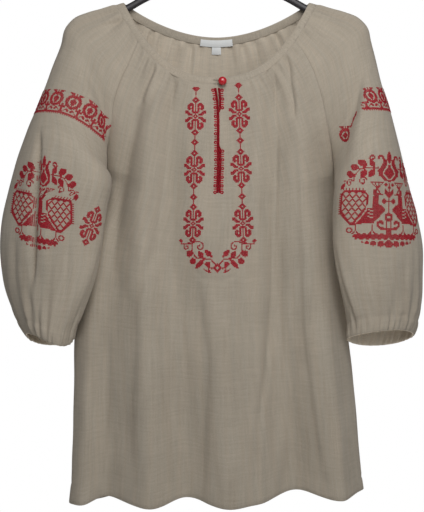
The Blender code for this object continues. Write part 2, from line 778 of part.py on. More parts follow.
def add_neck_band(finish, parent):
    """The band round the opening, from one side of the slit to the other, with rounded edges."""
    start = math.asin((SLIT_TOP_HALF_GAP + 0.2) / NECK_HALF_WIDTH)
    angle = np.linspace(start, 2 * math.pi - start, BAND_SEGMENTS + 1)[:, None]
    down = np.array([0.0, 1.2, BAND_WIDTH - 1.2, BAND_WIDTH])[None, :]
    thickness = BAND_WALL * np.array([0.5, 1.0, 1.0, 0.5])[None, :, None]
    points = band_line(angle, down)
    normals = -grid_normals(np.swapaxes(points, 0, 1))
    wall = Wall(np.swapaxes(points, 0, 1), normals, np.swapaxes(thickness, 0, 1), turned=True)
    wall.close_round()
    return add_object("neck_band", wall.mesh("neck_band"), finish, parent, math.radians(50))


def add_label(name, label, finish, parent):
    """A blank tape inside the back of the neck, made from the band's lines and moved in."""
    half = math.asin(label["width"] / 2 / NECK_HALF_WIDTH)
    angle = math.pi + np.linspace(half, -half, 7)[None, :]
    down = np.linspace(label["top"], label["bottom"], 3)[:, None]
    points = band_line(angle, down)
    inward = grid_normals(points)
    if inward[..., 1].mean() > 0:
        inward = -inward
    points = points + inward * (BAND_WALL / 2 + SEAM_GAP + LABEL_WALL / 2)
    wall = Wall(points, inward, LABEL_WALL)
    wall.close_round()
    return add_object(name, wall.mesh(name), finish, parent, math.radians(35))


# ---------------------------------------------------------------- hard pieces


def tube_mesh(name, path, rings):
    """Skins a list of rings of points, all with the same count, and closes both ends."""
    count = rings.shape[1]
    vertices = rings.reshape(-1, 3) * MM
    vertices[:, 2] -= NECK_TIP_BELOW_HOOK * MM
    faces = []
    for i in range(len(path) - 1):
        for j in range(count):
            k = (j + 1) % count
            faces.append((i * count + j, i * count + k, (i + 1) * count + k, (i + 1) * count + j))
    last = (len(path) - 1) * count
    faces.append(tuple(range(count - 1, -1, -1)))
    faces.append(tuple(last + j for j in range(count)))
    mesh = bpy.data.meshes.new(name)
    mesh.from_pydata(vertices.tolist(), [], faces)
    mesh.validate()
    mesh.update()
    return mesh


def round_rings(path, radius, flat_axis, sides):
    """Circles round a path that lies in a plane; flat_axis is the direction across that plane."""
    path = np.asarray(path, float)
    tangent = tidy_direction(np.gradient(path, axis=0))
    across = np.broadcast_to(np.asarray(flat_axis, float), path.shape)
    up = np.cross(tangent, across)
    turn = np.linspace(0, 2 * math.pi, sides, endpoint=False)[None, :, None]
    return path[:, None] + radius * (np.cos(turn) * across[:, None] + np.sin(turn) * up[:, None])


def add_hanger(finish, parent):
    """One bar from arm tip to arm tip: oval sections that swell into the hub, with round ends."""
    reach = HANGER_BAR.data[-1, 0] + BAR_END
    x = reach * np.sin(np.linspace(-1, 1, BAR_SAMPLES + 1) * math.radians(80)) / math.sin(math.radians(80))
    size = np.abs(x)
    beyond = np.clip((size - (reach - BAR_END)) / BAR_END, 0.0, 0.97)
    taper = np.sqrt(1 - beyond**2)
    height = HANGER_BAR("height", size) - 0.6 * np.maximum(size - (reach - BAR_END), 0)
    turn = np.linspace(0, 2 * math.pi, BAR_SIDES, endpoint=False) + math.pi / BAR_SIDES
    y = (HANGER_BAR("half_thick", size) * taper)[:, None] * np.cos(turn)[None, :]
    z = height[:, None] + (HANGER_BAR("half_height", size) * taper)[:, None] * np.sin(turn)[None, :]
    rings = stack(x[:, None], y, np.minimum(z, HUB_TOP))
    return add_object("hanger", tube_mesh("hanger", x, rings), finish, parent, math.radians(50))


def add_hook(finish, parent):
    """A wire hook on a collar: up from the hub, out to the side and over the rod."""
    centre = np.array([0.0, 0.0, NECK_TIP_BELOW_HOOK - HOOK_RADIUS])
    radius = HOOK_RADIUS + WIRE_RADIUS
    angle = np.linspace(HOOK_START_ANGLE, HOOK_END_ANGLE, 40)
    arc = centre + radius * stack(np.cos(angle), 0.0, np.sin(angle))
    base = np.array([0.0, 0.0, HUB_TOP + SEAM_GAP])
    shoulder = np.array([0.0, 0.0, HUB_TOP + COLLAR_HEIGHT + 1.0])
    u = np.linspace(0, 1, 10)[1:-1, None]
    leave = 7.0 * np.array([0.0, 0.0, 1.0])
    arrive = 7.0 * np.array([math.sin(HOOK_START_ANGLE), 0.0, -math.cos(HOOK_START_ANGLE)])
    bend = (
        (1 - u) ** 3 * shoulder
        + 3 * u * (1 - u) ** 2 * (shoulder + leave)
        + 3 * u**2 * (1 - u) * (arc[0] + arrive)
        + u**3 * arc[0]
    )
    stem = base + np.linspace(0, 1, 5)[:, None] * (shoulder - base)
    path = np.concatenate([stem, bend, arc])
    rings = round_rings(path, WIRE_RADIUS, (0, 1, 0), HOOK_SIDES)
    for i, share in enumerate((0.95, 1.0, 0.9, 0.6)):
        rings[i] = path[i] + (rings[i] - path[i]) * COLLAR_RADIUS * share / WIRE_RADIUS
    return add_object("hanger_hook", tube_mesh("hanger_hook", path, rings), finish, parent, math.radians(40))


def band_face(x, height):
    """How far forward the band's front face is at the middle of the front."""
    angle = math.asin(x / NECK_HALF_WIDTH)
    down = -FRONT_DROP - height
    return float(band_line(angle, max(down, 0.0))[..., 1].squeeze()) - BAND_WALL / 2


def add_button(finish, parent):
    """A ball button turned round its own axis, with its shank against the band."""
    face = band_face(BUTTON_X, BUTTON_HEIGHT) - BAND_CLEARANCE
    centre = SHANK_LENGTH + BUTTON_HALF_DEPTH
    polar = np.linspace(math.radians(168), math.radians(6), 12)
    ahead = np.concatenate([[0.0, SHANK_LENGTH * 0.5], centre + BUTTON_HALF_DEPTH * np.cos(polar)])
    radius = np.concatenate([[SHANK_RADIUS, SHANK_RADIUS], BUTTON_RADIUS * np.sin(polar)])
    path = stack(BUTTON_X, face - ahead, BUTTON_HEIGHT)
    turn = np.linspace(0, 2 * math.pi, 20, endpoint=False)
    ring = stack(np.cos(turn), 0.0, np.sin(turn))
    rings = path[:, None] + radius[:, None, None] * ring[None]
    return add_object("button", tube_mesh("button", path, rings), finish, parent, math.radians(40))


def add_button_loop(finish, parent):
    """A cord from the left end of the band round the button's shank and back."""
    half_turn = np.linspace(-math.pi / 2, math.pi / 2, 9)
    reach = SHANK_RADIUS + LOOP_RADIUS + 0.4
    face = band_face(0.0, BUTTON_HEIGHT) - BAND_CLEARANCE - LOOP_RADIUS
    round_x = BUTTON_X + reach * np.cos(half_turn)
    round_z = BUTTON_HEIGHT + reach * np.sin(half_turn)
    x = np.concatenate([[LOOP_START, 1.5], round_x, [1.5, LOOP_START]])
    z = np.concatenate([[BUTTON_HEIGHT - 3.0, BUTTON_HEIGHT - 2.6], round_z, [BUTTON_HEIGHT + 2.6, BUTTON_HEIGHT + 3.0]])
    path = stack(x, face, z)
    rings = round_rings(path, LOOP_RADIUS, (0, 1, 0), 8)
    return add_object("button_loop", tube_mesh("button_loop", path, rings), finish, parent, math.radians(50))


def main():
    for obj in list(bpy.data.objects):
        bpy.data.objects.remove(obj, do_unlink=True)
    linen = material("linen", (0.42, 0.37, 0.29), 0.9)
    red_cord = material("red_cord", (0.35, 0.018, 0.03), 0.65)
    red_gloss = material("red_gloss", (0.45, 0.008, 0.02), 0.15)
    label_tape = material("label_tape", (0.82, 0.82, 0.80), 0.7)
    dark_plastic = material("dark_plastic", (0.022, 0.018, 0.02), 0.4)
    hook_steel = material("hook_steel", (0.72, 0.72, 0.74), 0.25, metallic=1.0)
    blouse = bpy.data.objects.new("blouse_axis", None)
    bpy.context.collection.objects.link(blouse)

    grids, normals, rows, middle = cloth_grids()
    first_closed = open_slit(grids["front"], rows, middle)
    add_front(grids["front"], normals["front"], middle, first_closed, linen, blouse)
    add_back(grids["back"], normals["back"], linen, blouse)
    for name in ("sleeve_left", "sleeve_right"):
        add_sleeve(name, grids[name], normals[name], linen, blouse)
    add_neck_band(linen, blouse)
    for name, side in (("slit_edging_left", LEFT), ("slit_edging_right", RIGHT)):
        add_slit_edging(name, grids["front"], normals["front"], middle, first_closed, side, red_cord, blouse)
    add_label("neck_label", NECK_LABEL, label_tape, blouse)
    add_label("size_label", SIZE_LABEL, label_tape, blouse)
    add_button(red_gloss, blouse)
    add_button_loop(linen, blouse)
    add_hanger(dark_plastic, blouse)
    add_hook(hook_steel, blouse)


main()
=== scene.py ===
"""Looks of a gathered linen peasant blouse with red cross-stitch, hanging on its hanger.

Run with: blender --background --python scene.py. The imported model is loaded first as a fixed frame, and
every piece made here stands on it. The blouse's shapes are worked out in millimetres, with heights from
the top of the shoulders, and become metres when a mesh is made.

Every piece of cloth is a surface of two parameters (s, t): t is 0 at the neck band, 1 at the underarm and
2 at the hem or cuff, and s runs across the piece. A relief of pleats, creases and puckers moves it along
its normal. Embroidery is laid out on charts of square cells, and each cell is one cross stitch of two
threads, sewn where the chart meets the cloth.

Axes: +X is to the right seen from the front, -Y is the front, +Z is up. Left and right are those of
someone who faces the blouse.
"""

import math
from functools import partial

import bpy
import numpy as np
from bpy.props import FloatProperty, FloatVectorProperty, PointerProperty
from bpy.types import Operator, Panel, PropertyGroup
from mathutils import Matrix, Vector


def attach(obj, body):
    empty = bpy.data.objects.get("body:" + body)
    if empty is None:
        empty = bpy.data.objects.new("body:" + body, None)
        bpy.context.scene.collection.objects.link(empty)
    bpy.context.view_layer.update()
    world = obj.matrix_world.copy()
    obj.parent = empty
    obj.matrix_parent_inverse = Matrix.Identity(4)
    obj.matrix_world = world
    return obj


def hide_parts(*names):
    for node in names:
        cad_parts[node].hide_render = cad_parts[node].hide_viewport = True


bl_info = {
    "name": "Linen Blouse with Cross-Stitch",
    "version": (1, 0, 0),
    "blender": (4, 5, 0),
    "location": "3D View > Sidebar > Blouse",
    "description": "Linen cloth, embroidery, trims, hanger and studio for a gathered peasant blouse",
    "category": "Add Mesh",
}

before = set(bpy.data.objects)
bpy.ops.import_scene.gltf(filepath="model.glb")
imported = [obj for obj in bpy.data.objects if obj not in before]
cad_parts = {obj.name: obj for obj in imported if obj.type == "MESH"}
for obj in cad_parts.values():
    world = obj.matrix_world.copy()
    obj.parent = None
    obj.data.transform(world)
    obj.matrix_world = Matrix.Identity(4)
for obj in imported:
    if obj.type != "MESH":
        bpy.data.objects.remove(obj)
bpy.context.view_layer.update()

MM = 0.001
CIRCLE = 2 * math.pi  # radians in a whole turn
BODY = "root"
LEFT, RIGHT = -1, 1
SIDES = ((LEFT, "left"), (RIGHT, "right"))

# Neck opening
NECK_TIP_BELOW_HOOK = 121.0  # the origin is the inside of the hook, this far over the shoulder tops
NECK_HALF_WIDTH = 134.0
FRONT_DROP, FRONT_ROUND = 111.0, 2.5  # depth of the scoop and the power that shapes it
BACK_DROP, BACK_ROUND = 46.0, 1.9
FRONT_STAND, BACK_STAND = 30.0, 22.0  # how far the opening stands off the hanger's plane at its middle
BAND_WIDTH, BAND_THICKNESS = 12.0, 2.6
NECK_JOIN = BAND_WIDTH - 1.6  # the cloth's top edge is tucked this far down the band
SHOULDER_SLOPE = math.radians(17.0)
FRONT_SEAM_ANGLE = math.radians(51.0)  # where the raglan seams meet the band, round the opening
BACK_SEAM_ANGLE = math.radians(132.0)

# Neck slit: half its gap at the band and lower down. It ends where the front's t is 1.
SLIT_TOP_HALF_GAP, SLIT_HALF_GAP = 1.6, 0.4

# Mesh fineness: rows above the underarm, rows below it, and columns
UPPER_ROWS, BODY_LOWER_ROWS, SLEEVE_LOWER_ROWS = 56, 104, 84
FRONT_COLUMNS, BACK_COLUMNS, SLEEVE_COLUMNS = 208, 176, 208
BAND_COLUMNS, BAND_ROUND = 620, 20
CLOTH_THICKNESS = 0.9
BAND_WALL = 3.0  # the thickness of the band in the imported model
LABEL_CLEARANCE = 0.55
SEAM_BULGE = 0.7  # the cloth stands this far over its seams
HEM_LINE = 1.963  # t of the hem's line of stitches
CUFF_LINE = 1.93  # t of the elastic casing's line of stitches
BAND_STITCH, BAND_EDGE_STITCH = 10.4, 1.6  # its two lines of stitches, this far down the band
BAND_SQUARENESS = 0.45  # power of the cosine across the band: 1 is a round edge, less a squarer one

# Where the studio camera stands, in blouse millimetres, for what is placed as it is seen
EYE_X, EYE_HEIGHT, EYE_DISTANCE = -6.5, -366.9, 1900.0

# Embroidery
CELL = 1.6
STITCH_HALF_WIDTH, STITCH_HEIGHT = 0.56, 0.42
CHAIN_AXES = (((-33.5, -319.6), (-30.3, -163.7), 125), ((38.3, -319.3), (33.4, -160.2), 128))
GARLAND_AXIS = ((1.2, -384.3), (1.2, -344.3))
ARM_BAND_ROW = {
    LEFT: ((0.0, 1.0), (0.912, 0.912)),
    RIGHT: ((0.0, 0.2, 0.26, 0.33, 1.0), (0.865, 0.868, 0.892, 0.905, 0.912)),
}
FOLDED_FLOWER_AXIS = ((188.5, -208.0), (187.5, -178.0), 19, ((0.13, 1.0), (0.13, 0.89)))
ARM_BAND_REACH = {LEFT: (0.06, 0.94, 11), RIGHT: (0.235, 0.94, 10)}
MEDALLION_AXIS = {
    LEFT: ((-264.5, -358.0), (-257.0, -220.4), 88, ((0.25, 1.5), (0.25, 1.1))),
    RIGHT: ((249.5, -354.0), (249.5, -216.0), 88, ((0.25, 1.5), (0.25, 1.1))),
}
MEDALLION_SPREAD = {
    LEFT: (
        (-46, -16, -9, 9, 12.5, 46),
        (0, 48, 59, 75, 88),
        2 * [(-33, 0, 0, 2, 5.5, 38)] + 2 * [(-33, -0.5, 0.2, 14, 15, 46)] + [(-33, -1, 0.2, 14, 15, 46)],
        0.0007,
    ),
    RIGHT: ((-46, -15, 15, 46), (0, 88), ((-49.5, -18, 18, 49), (-49.5, -18, 18, 49)), 0.0),
}
LONE_ROSETTE_AXIS = ((-181.5, -323.1), (-171.6, -294.8), 18, ((0.1, 1.4), (0.1, 1.3)))

# Neck slit's edging
SLIT_TOP, SLIT_FOOT = -123.5, -275.5
RING_PITCH = 12.6
TURNED_UNDER = {LEFT: (0.0, 0.0), RIGHT: (-213.0, -152.0)}  # between these heights the edge is folded in


def numbers(text):
    """Rows of numbers parted by commas."""
    return np.array([row.split() for row in text.split(",")], float)


class Table:
    """Rows of named columns; a column is read between its rows by a smooth curve (cubic Hermite)."""

    def __init__(self, names, rows):
        self.data = numbers(rows)
        self.at = self.data[:, 0]
        named = zip(names.split(), self.data.T)
        self.columns = {name: (values, np.gradient(values, self.at)) for name, values in named}

    def __call__(self, name, t):
        value, slope = self.columns[name]
        t = np.minimum(np.maximum(t, self.at[0]), self.at[-1])
        i = np.minimum(np.searchsorted(self.at, t, side="right"), len(self.at) - 1) - 1
        h = self.at[i + 1] - self.at[i]
        u = (t - self.at[i]) / h
        w = 1 - u
        eased = value[i] * w * w * (1 + 2 * u) + value[i + 1] * u * u * (3 - 2 * u)
        return eased + h * u * w * (w * slope[i] - u * slope[i + 1])


def both_sides(names, left, right):
    return {LEFT: Table(names, left), RIGHT: Table(names, right)}


def read_creases(text):
    """(height, half width on its left, on its right, points of its line) from each line of text."""
    rows = [row.split(":") for row in text.strip().splitlines()]
    return [(*map(float, sizes.split()), numbers(line)) for sizes, line in rows]


# Raglan and side seams: x is the distance from the middle, y the depth (front is minus), z the height.
FRONT_RAGLAN = both_sides("t x y z", """
    0 115 -17 -60, 0.2 127 -22 -91, 0.4 138 -26 -118, 0.6 147 -27 -148, 0.8 152 -22 -184, 0.92 158 -8 -212,
    1 163 6 -236
""", """
    0 115 -17 -60, 0.2 130 -22 -82, 0.4 141 -27 -108, 0.6 151 -29 -142, 0.8 160 -24 -184, 0.92 168 -8 -220,
    1 174 6 -246
""")
BACK_RAGLAN = both_sides("t x y z", """
    0 106 15 -34, 0.2 119 21 -66, 0.4 131 27 -100, 0.6 142 31 -138, 0.8 152 30 -182, 0.92 159 20 -213,
    1 163 6 -236
""", """
    0 106 15 -34, 0.2 121 21 -66, 0.4 134 27 -102, 0.6 146 31 -143, 0.8 160 30 -190, 0.92 169 20 -224,
    1 174 6 -246
""")
SIDE_SEAM = both_sides("t x y z", """
    1 163 6 -236, 1.05 164 18 -250, 1.15 173 31 -280, 1.32 194 32 -335, 1.5 203 31 -400, 1.68 207 24 -475,
    1.84 208 12 -590, 1.94 210 4 -680, 2 213 0 -724
""", """
    1 174 6 -246, 1.05 174 18 -260, 1.15 178 30 -290, 1.32 186 30 -345, 1.5 189 29 -408, 1.68 192 22 -480,
    1.84 202 10 -590, 1.94 209 3 -675, 2 213 0 -704
""")

# Middle line of the front and back, how each row rises to its seams, and how square it is in plan.
FRONT_ROWS = Table("t y z rise squareness", """
    0 -32 -123 2.2 2, 0.4 -36 -170 2 2.6, 0.7 -38 -222 2 3.6, 1 -38 -276 2 5, 1.3 -37 -354 2 5.5,
    1.5 -36 -420 2 5.2, 1.7 -35 -495 2 5, 2 -33 -715 2 5
""")
BACK_ROWS = Table("t y z rise squareness", """
    0 25 -58 2 2, 0.4 33 -120 2 2.4, 0.7 38 -190 2 3, 1 41 -258 2 3, 1.3 42 -345 2 4, 1.5 42 -416 2 4.5,
    1.7 40 -490 2 5, 2 34 -710 2 6
""")

SLIT_BOW = Table("t shift", "0 0, 0.2 1.1, 0.5 1.9, 0.8 -0.6, 1 -3, 1.3 0, 1.6 0")

# Folds that fall from the neck band to the hem. x is where each runs at four heights, depth how far it
# stands forward (plus) or back (minus) of the panel at the chest and at the hem, width its half width.
FOLD_HEIGHTS = (-110.0, -300.0, -500.0, -730.0)
FRONT_FOLDS = Table("fold x_neck x_chest x_waist x_hem chest hem width", """
    0 -128 -176 -196 -207 0 11 26, 1 -108 -142 -152 -160 -5 -21 25, 2 -84 -108 -100 -92 8 20 30,
    3 -62 -66 -56 -42 -5 -13 28, 4 -30 -20 8 20 4 24 38, 5 86 84 92 116 -9 -24 32, 6 62 58 60 66 4 6 18,
    7 112 128 150 186 6 19 34
""")
BACK_FOLDS = Table("fold x_neck x_chest x_waist x_hem chest hem width", """
    0 -112 -150 -168 -180 7 20 30, 1 -70 -96 -104 -118 -6 -18 28, 2 -34 -40 -44 -52 6 22 34,
    3 10 14 18 20 -5 -17 28, 4 52 60 68 86 7 23 32, 5 84 112 126 144 -6 -17 26, 6 116 150 172 192 5 13 26
""")

# Sleeves. The outer line is the silhouette: the top of the shoulder, then the outside of the sleeve.
OUTER_LINE = both_sides("t x z", """
    0 145.5 -3.5, 0.12 166 -8.5, 0.25 188 -14.5, 0.36 208 -24, 0.44 220 -39, 0.52 225 -60, 0.62 235 -86,
    0.75 247 -120, 0.88 260 -153, 1 273 -184, 1.12 286 -220, 1.27 300 -268, 1.4 309 -304, 1.55 313 -345,
    1.7 310 -388, 1.82 303 -425, 1.92 290 -458, 1.97 281 -474, 2 275 -482
""", """
    0 145.5 -3.5, 0.12 165 -8.5, 0.25 187 -14, 0.36 207 -23, 0.44 219 -37, 0.52 223 -56, 0.62 230 -84,
    0.75 238 -118, 0.88 249 -152, 1 259 -188, 1.12 268 -226, 1.27 281 -276, 1.4 291 -312, 1.55 298 -354,
    1.7 298 -395, 1.82 297 -428, 1.92 292 -457, 1.97 288 -472, 2 284 -481
""")
# The sleeve's own seam, on the inner side of the tube below the underarm.
SLEEVE_SEAM = both_sides("t x y z", """
    1 163 6 -236, 1.08 158 -8 -246, 1.18 156 -18 -264, 1.3 159 -24 -291, 1.45 164 -26 -324,
    1.6 169 -27 -358, 1.75 178 -26 -402, 1.86 191 -22 -438, 1.95 203 -18 -469, 2 207 -16 -482
""", """
    1 174 6 -246, 1.08 174 -8 -262, 1.18 172 -18 -284, 1.3 170 -24 -311, 1.45 170 -26 -337,
    1.6 172 -27 -364, 1.75 178 -26 -405, 1.86 185 -24 -442, 1.95 189 -22 -471, 2 189 -22 -486
""")
# Cross sections: the turn of each half round from the outer line to its seam (180 is half round),
# the depth of each half, how late the row drops to the seam, and the depth of the outer line.
SLEEVE_SECTIONS = Table("t front_turn back_turn front_depth back_depth lateness outer_y", """
    0 90 90 18 15 1 0, 0.25 92 92 22 22 1 0, 0.5 102 100 32 30 1.3 0, 0.75 128 122 44 36 2 0,
    0.9 165 150 48 32 2.6 0, 1 200 160 50 26 2.8 0, 1.08 205 155 50 20 2.6 1, 1.18 205 155 50 26 2 2,
    1.35 200 160 47 40 1.4 4, 1.6 200 160 46 40 1 4, 1.8 198 162 46 40 1 2, 2 190 170 42 38 1 0
""")
# Cuff rims: how far the front rises and the back drops, and how far the front leans to the outside.
CUFF_RIMS = {LEFT: (-4.0, 16.0, 8.0), RIGHT: (12.0, 14.0, 1.0)}
CUFF_EXTRA_DEPTH = {LEFT: 8.0, RIGHT: -3.0}

# Hanger: its arms are one bar, in sections along x; height is that of the bar's middle.
HANGER_BAR = Table("x height half_height half_thick", """
    0 52 15 8, 9 50.5 14 8, 22 44 9.5 6.5, 45 34.5 7.2 5.5, 75 21.5 6.4 5, 105 6.5 6 4.8, 134 -9.8 6 4.8,
    166 -19 6 5.2, 187 -26.2 6 5.4, 200 -33 6.2 5.2
""")
BAR_SAMPLES, BAR_SIDES = 140, 28
BAR_END = 6.0  # the round ends reach this much further
HUB_TOP = 66.0  # height of the hub's flat top
COLLAR_RADIUS, COLLAR_HEIGHT = 4.2, 5.0
WIRE_RADIUS, HOOK_RADIUS = 1.75, 20.0  # the hook's radius is that of its inside
HOOK_START_ANGLE, HOOK_END_ANGLE = math.radians(-52.0), math.radians(200.0)

# Button, its loop and the labels
BUTTON_X, BUTTON_HEIGHT = 8.3, -118.0
BUTTON_RADIUS, BUTTON_HALF_DEPTH = 6.2, 4.8
SHANK_RADIUS, SHANK_LENGTH = 1.5, 2.4
BAND_CLEARANCE = 0.9  # the band's face leans, so what stands on it starts this far out
LOOP_RADIUS, LOOP_START = 0.6, -5.0
NECK_LABEL, SIZE_LABEL = (45.0, 4.0, 14.0), (12.0, 14.4, 25.0)  # width, top and bottom below the band's edge


# Creases, as seen: (height, half width on the left, on the right, points of the line)
FRONT_CREASES = read_creases("""
    -2 4 2.2: -88 -82.6, -92.1 -100, -99.3 -116, -106.6 -133.4, -112.4 -152.2
    1 2.4 4.5: -81.9 -82.6, -86.3 -100, -92.8 -116, -100 -133.4, -105.1 -152.2
    -0.9 2 2: -113.8 -55.1, -121.1 -59.4, -128.3 -60.9
    -0.8 2 2: -69.7 -94.2, -70.3 -101.5, -70.9 -108.8
    -1.1 3.5 3.5: -58.7 -104.4, -60.2 -111.1, -62.2 -127.6, -66 -152.2, -68.1 -169.7
    -0.6 2 2: -52.3 -107.3, -51.5 -111.6, -47.7 -126.1
    -0.9 2 2: 44.9 -105.8, 45.7 -108.8, 50.9 -120.3
    -0.6 2.5 2.5: 64.2 -94.2, 64.5 -100, 63.1 -116, 67.4 -139.9
    -1.2 2.2 2.6: 81.3 -84.1, 81.9 -89.5, 84.8 -103.8, 85.7 -168.2
    -0.9 1.8 1.8: 90.9 -81.2, 91.2 -84.7, 91.9 -94.2
    -2.2 5.5 1.8: 100.2 -68.1, 106.1 -91.3, 108.6 -116, 112.4 -139.9, 113.8 -172.5
    1.1 2 4.5: 106.6 -71, 112.4 -91.3, 115.3 -116, 118.2 -139.9, 119.6 -172.5
    -0.8 1.6 1.6: 121.7 -43.5, 122.5 -47.4, 123.4 -52.2
    -2 7 7: -104 -130, -112.4 -152.2, -125.4 -213.2, -139.9 -285.7, -154.4 -400
    -1.8 8 6: -166 -440, -168.9 -478.5, -173.3 -551, -183.4 -623.5, -197.9 -730
    -2.4 12 9: -81.9 -250, -86.3 -358.2, -121.1 -430.7, -122.5 -527.8, -128.3 -623.5, -125.4 -740
    -1.6 6 6: -62 -125, -67.4 -188.5, -77.6 -285.7, -81.9 -360
    -2.4 11 8: -28.3 -380, -23.9 -455.3, -13.8 -527.8, -19.6 -623.5, -23.9 -740
    -2.2 6 4: 87 -130, 87.7 -188.5, 84.8 -310.3, 80.5 -430.7, 73.2 -527.8, 60.2 -623.5, 54 -740
    -1.6 8 5: 112 -165.3, 116.7 -285.7, 121.1 -382.8, 121.1 -455.3, 135.6 -575.7, 150.1 -672.8, 166 -740
    1.6 9 9: -152 -370, -150.1 -406, -147.2 -575.7, -168.9 -730
    1.4 10 10: -63.1 -390, -52.9 -575.7, -57.3 -730
    1.8 8 8: 102.2 -300, 102.2 -478.5, 96.4 -623.5, 84 -730
    1.4 9 9: 148 -390, 154.4 -430.7, 174.7 -623.5, 182 -720
    -0.9 2.5 3.5: -34 -384, -20 -400, 10 -404, 34 -392
""")
SLEEVE_CREASES = {LEFT: read_creases("""
    -1.3 2.5 2.5: -131.2 -25.2, -134.8 -26.1, -154.4 -29.9, -174 -34.1, -180.5 -36.2
    -0.7 3 3: -137 -18, -139.9 -17.4, -158.8 -14.5, -164.6 -13.9
    -10 4.2 3.2: -256 -176, -258 -216.1, -262 -285.7, -265 -358.2, -267 -420
    1.8 7 7: -245 -200, -247 -285.7, -250 -358.2, -252 -420
    1.6 7 7: -271 -210, -276 -285.7, -279 -358.2, -280 -400
    -1.5 3 5: -292 -335, -292.2 -393, -286.4 -439.4, -276.2 -470
    -1.9 3 4.5: -213.9 -345, -216.8 -401.7, -219.7 -426.3, -223.3 -455.3, -226 -486
    -1.1 8 8: -206.6 -190, -208.8 -213, -209.5 -285.7, -214 -350
    -1.2 2.5 2.5: -272 -425, -269 -437.9, -264.6 -451, -262 -470
"""), RIGHT: read_creases("""
    -1.2 2 2: 126.9 -26.1, 131.2 -29, 142.2 -37.7, 149.5 -46.4, 156.7 -50.8, 167.5 -49.3
    -0.8 3 3: 132.7 -17.4, 138.5 -18.8, 161.7 -24.6, 190.7 -23.2
""")}
BACK_CREASES = read_creases("""
    1.6 2.2 2.2: -96 -25, -97 -39.2, -99.3 -54.5, -101 -90, -104 -130
    1.5 2.4 3.5: -80.5 -28, -81.9 -41.3, -84.8 -72.5, -88 -120
    1.1 3 3: -64.5 -35, -64.5 -70, -66 -115, -68 -150
    1.7 2.6 3.4: -33.5 -40, -34.5 -55.1, -38.4 -100.1, -41 -160
    1.8 6 5: -14.5 -50, -14.5 -76.9, -13.8 -113.1, -13 -190
    1.5 2.4 2.8: 35 -40, 35.1 -55.1, 35.5 -98.6, 37 -150
    1.3 2.6 2.6: 58 -42, 58.7 -58, 59.5 -91.4, 61 -140
    -1.2 5 5: 10 -55, 11 -113.1, 12 -190
    -1.3 5 5: -49 -40, -50 -100, -52 -160
    1.2 2.5 2.5: 84 -35, 86 -60, 90 -110
""")

def smooth(u):
    """0 below 0, 1 above 1, and an even S between."""
    u = np.clip(u, 0.0, 1.0)
    return u * u * (3 - 2 * u)


def bell(u):
    return np.exp(-(u**2))


def stack(*parts):
    return np.stack(np.broadcast_arrays(*parts), axis=-1).astype(float)


def flattened(wave, power):
    """A wave from -1 to 1, squarer for a power below 1."""
    return np.sign(wave) * np.abs(wave) ** power


def unit(vectors):
    return vectors / np.maximum(np.linalg.norm(vectors, axis=-1, keepdims=True), 1e-9)


def spokes(count):
    """Angles evenly spaced round a circle."""
    return np.linspace(0, CIRCLE, count, endpoint=False)


def arc_length(points):
    return np.concatenate([[0.0], np.cumsum(np.linalg.norm(np.diff(points, axis=0), axis=1))])


def read_along(values, length, at):
    """Rows of values read at other distances than their own."""
    return np.stack([np.interp(at, length, column) for column in values.T], axis=1)


# ---- The neck opening


def neck_edge(angle):
    """Edge of the opening: an ellipse in plan, dropping to the middle of the front (angle 0) and back."""
    across, ahead = np.sin(angle), np.cos(angle)
    front = ahead > 0
    x = NECK_HALF_WIDTH * across
    y = -np.where(front, FRONT_STAND, BACK_STAND) * ahead
    front_z = -FRONT_DROP * (1 - np.abs(across) ** FRONT_ROUND)
    back_z = -BACK_DROP * (1 - np.abs(across) ** BACK_ROUND)
    return stack(x, y, np.where(front, front_z, back_z))


def neck_outward(angle):
    """Unit direction from the opening's edge down into the cloth, turning along the shoulder at its tips."""
    across, ahead = np.sin(angle), np.cos(angle)
    side = np.sign(across)
    size = np.abs(across)
    front_slope = FRONT_DROP * FRONT_ROUND * size ** (FRONT_ROUND - 1) / NECK_HALF_WIDTH
    back_slope = BACK_DROP * BACK_ROUND * size ** (BACK_ROUND - 1) / NECK_HALF_WIDTH
    slope = np.where(ahead > 0, front_slope, back_slope)
    tip = size**14
    length = np.sqrt(1 + slope**2)
    x = side * ((1 - tip) * slope / length + tip * math.cos(SHOULDER_SLOPE))
    z = -((1 - tip) / length + tip * math.sin(SHOULDER_SLOPE))
    y = -0.22 * ahead * (1 - tip)
    return unit(stack(x, y, z))


def band_line(angle, down):
    """The line at a distance below the opening's edge, on the mid surface of the band."""
    return neck_edge(angle) + np.asarray(down)[..., None] * neck_outward(angle)


# ---- Seams


def seam_point(table, side, t, start=None):
    """A point of a seam table, eased onto its exact start on the neck band where it has one."""
    points = stack(side * table("x", t), table("y", t), table("z", t))
    if start is not None:
        first = np.array([side * table("x", 0.0), table("y", 0.0), table("z", 0.0)])
        points += (1 - smooth(np.asarray(t) / 0.4))[..., None] * (start - first)
    return points


def edge_seam(raglan, below, angle, side, t):
    """A piece's edge: a raglan seam down to the underarm, then the side seam or the sleeve's own seam."""
    above = seam_point(raglan[side], side, np.minimum(t, 1.0), band_line(side * angle, NECK_JOIN))
    under = seam_point(below[side], side, np.maximum(t, 1.0))
    return np.where((t <= 1.0)[..., None], above, under)


front_seam = partial(edge_seam, FRONT_RAGLAN, SIDE_SEAM, FRONT_SEAM_ANGLE)
back_seam = partial(edge_seam, BACK_RAGLAN, SIDE_SEAM, BACK_SEAM_ANGLE)


# ---- Front and back


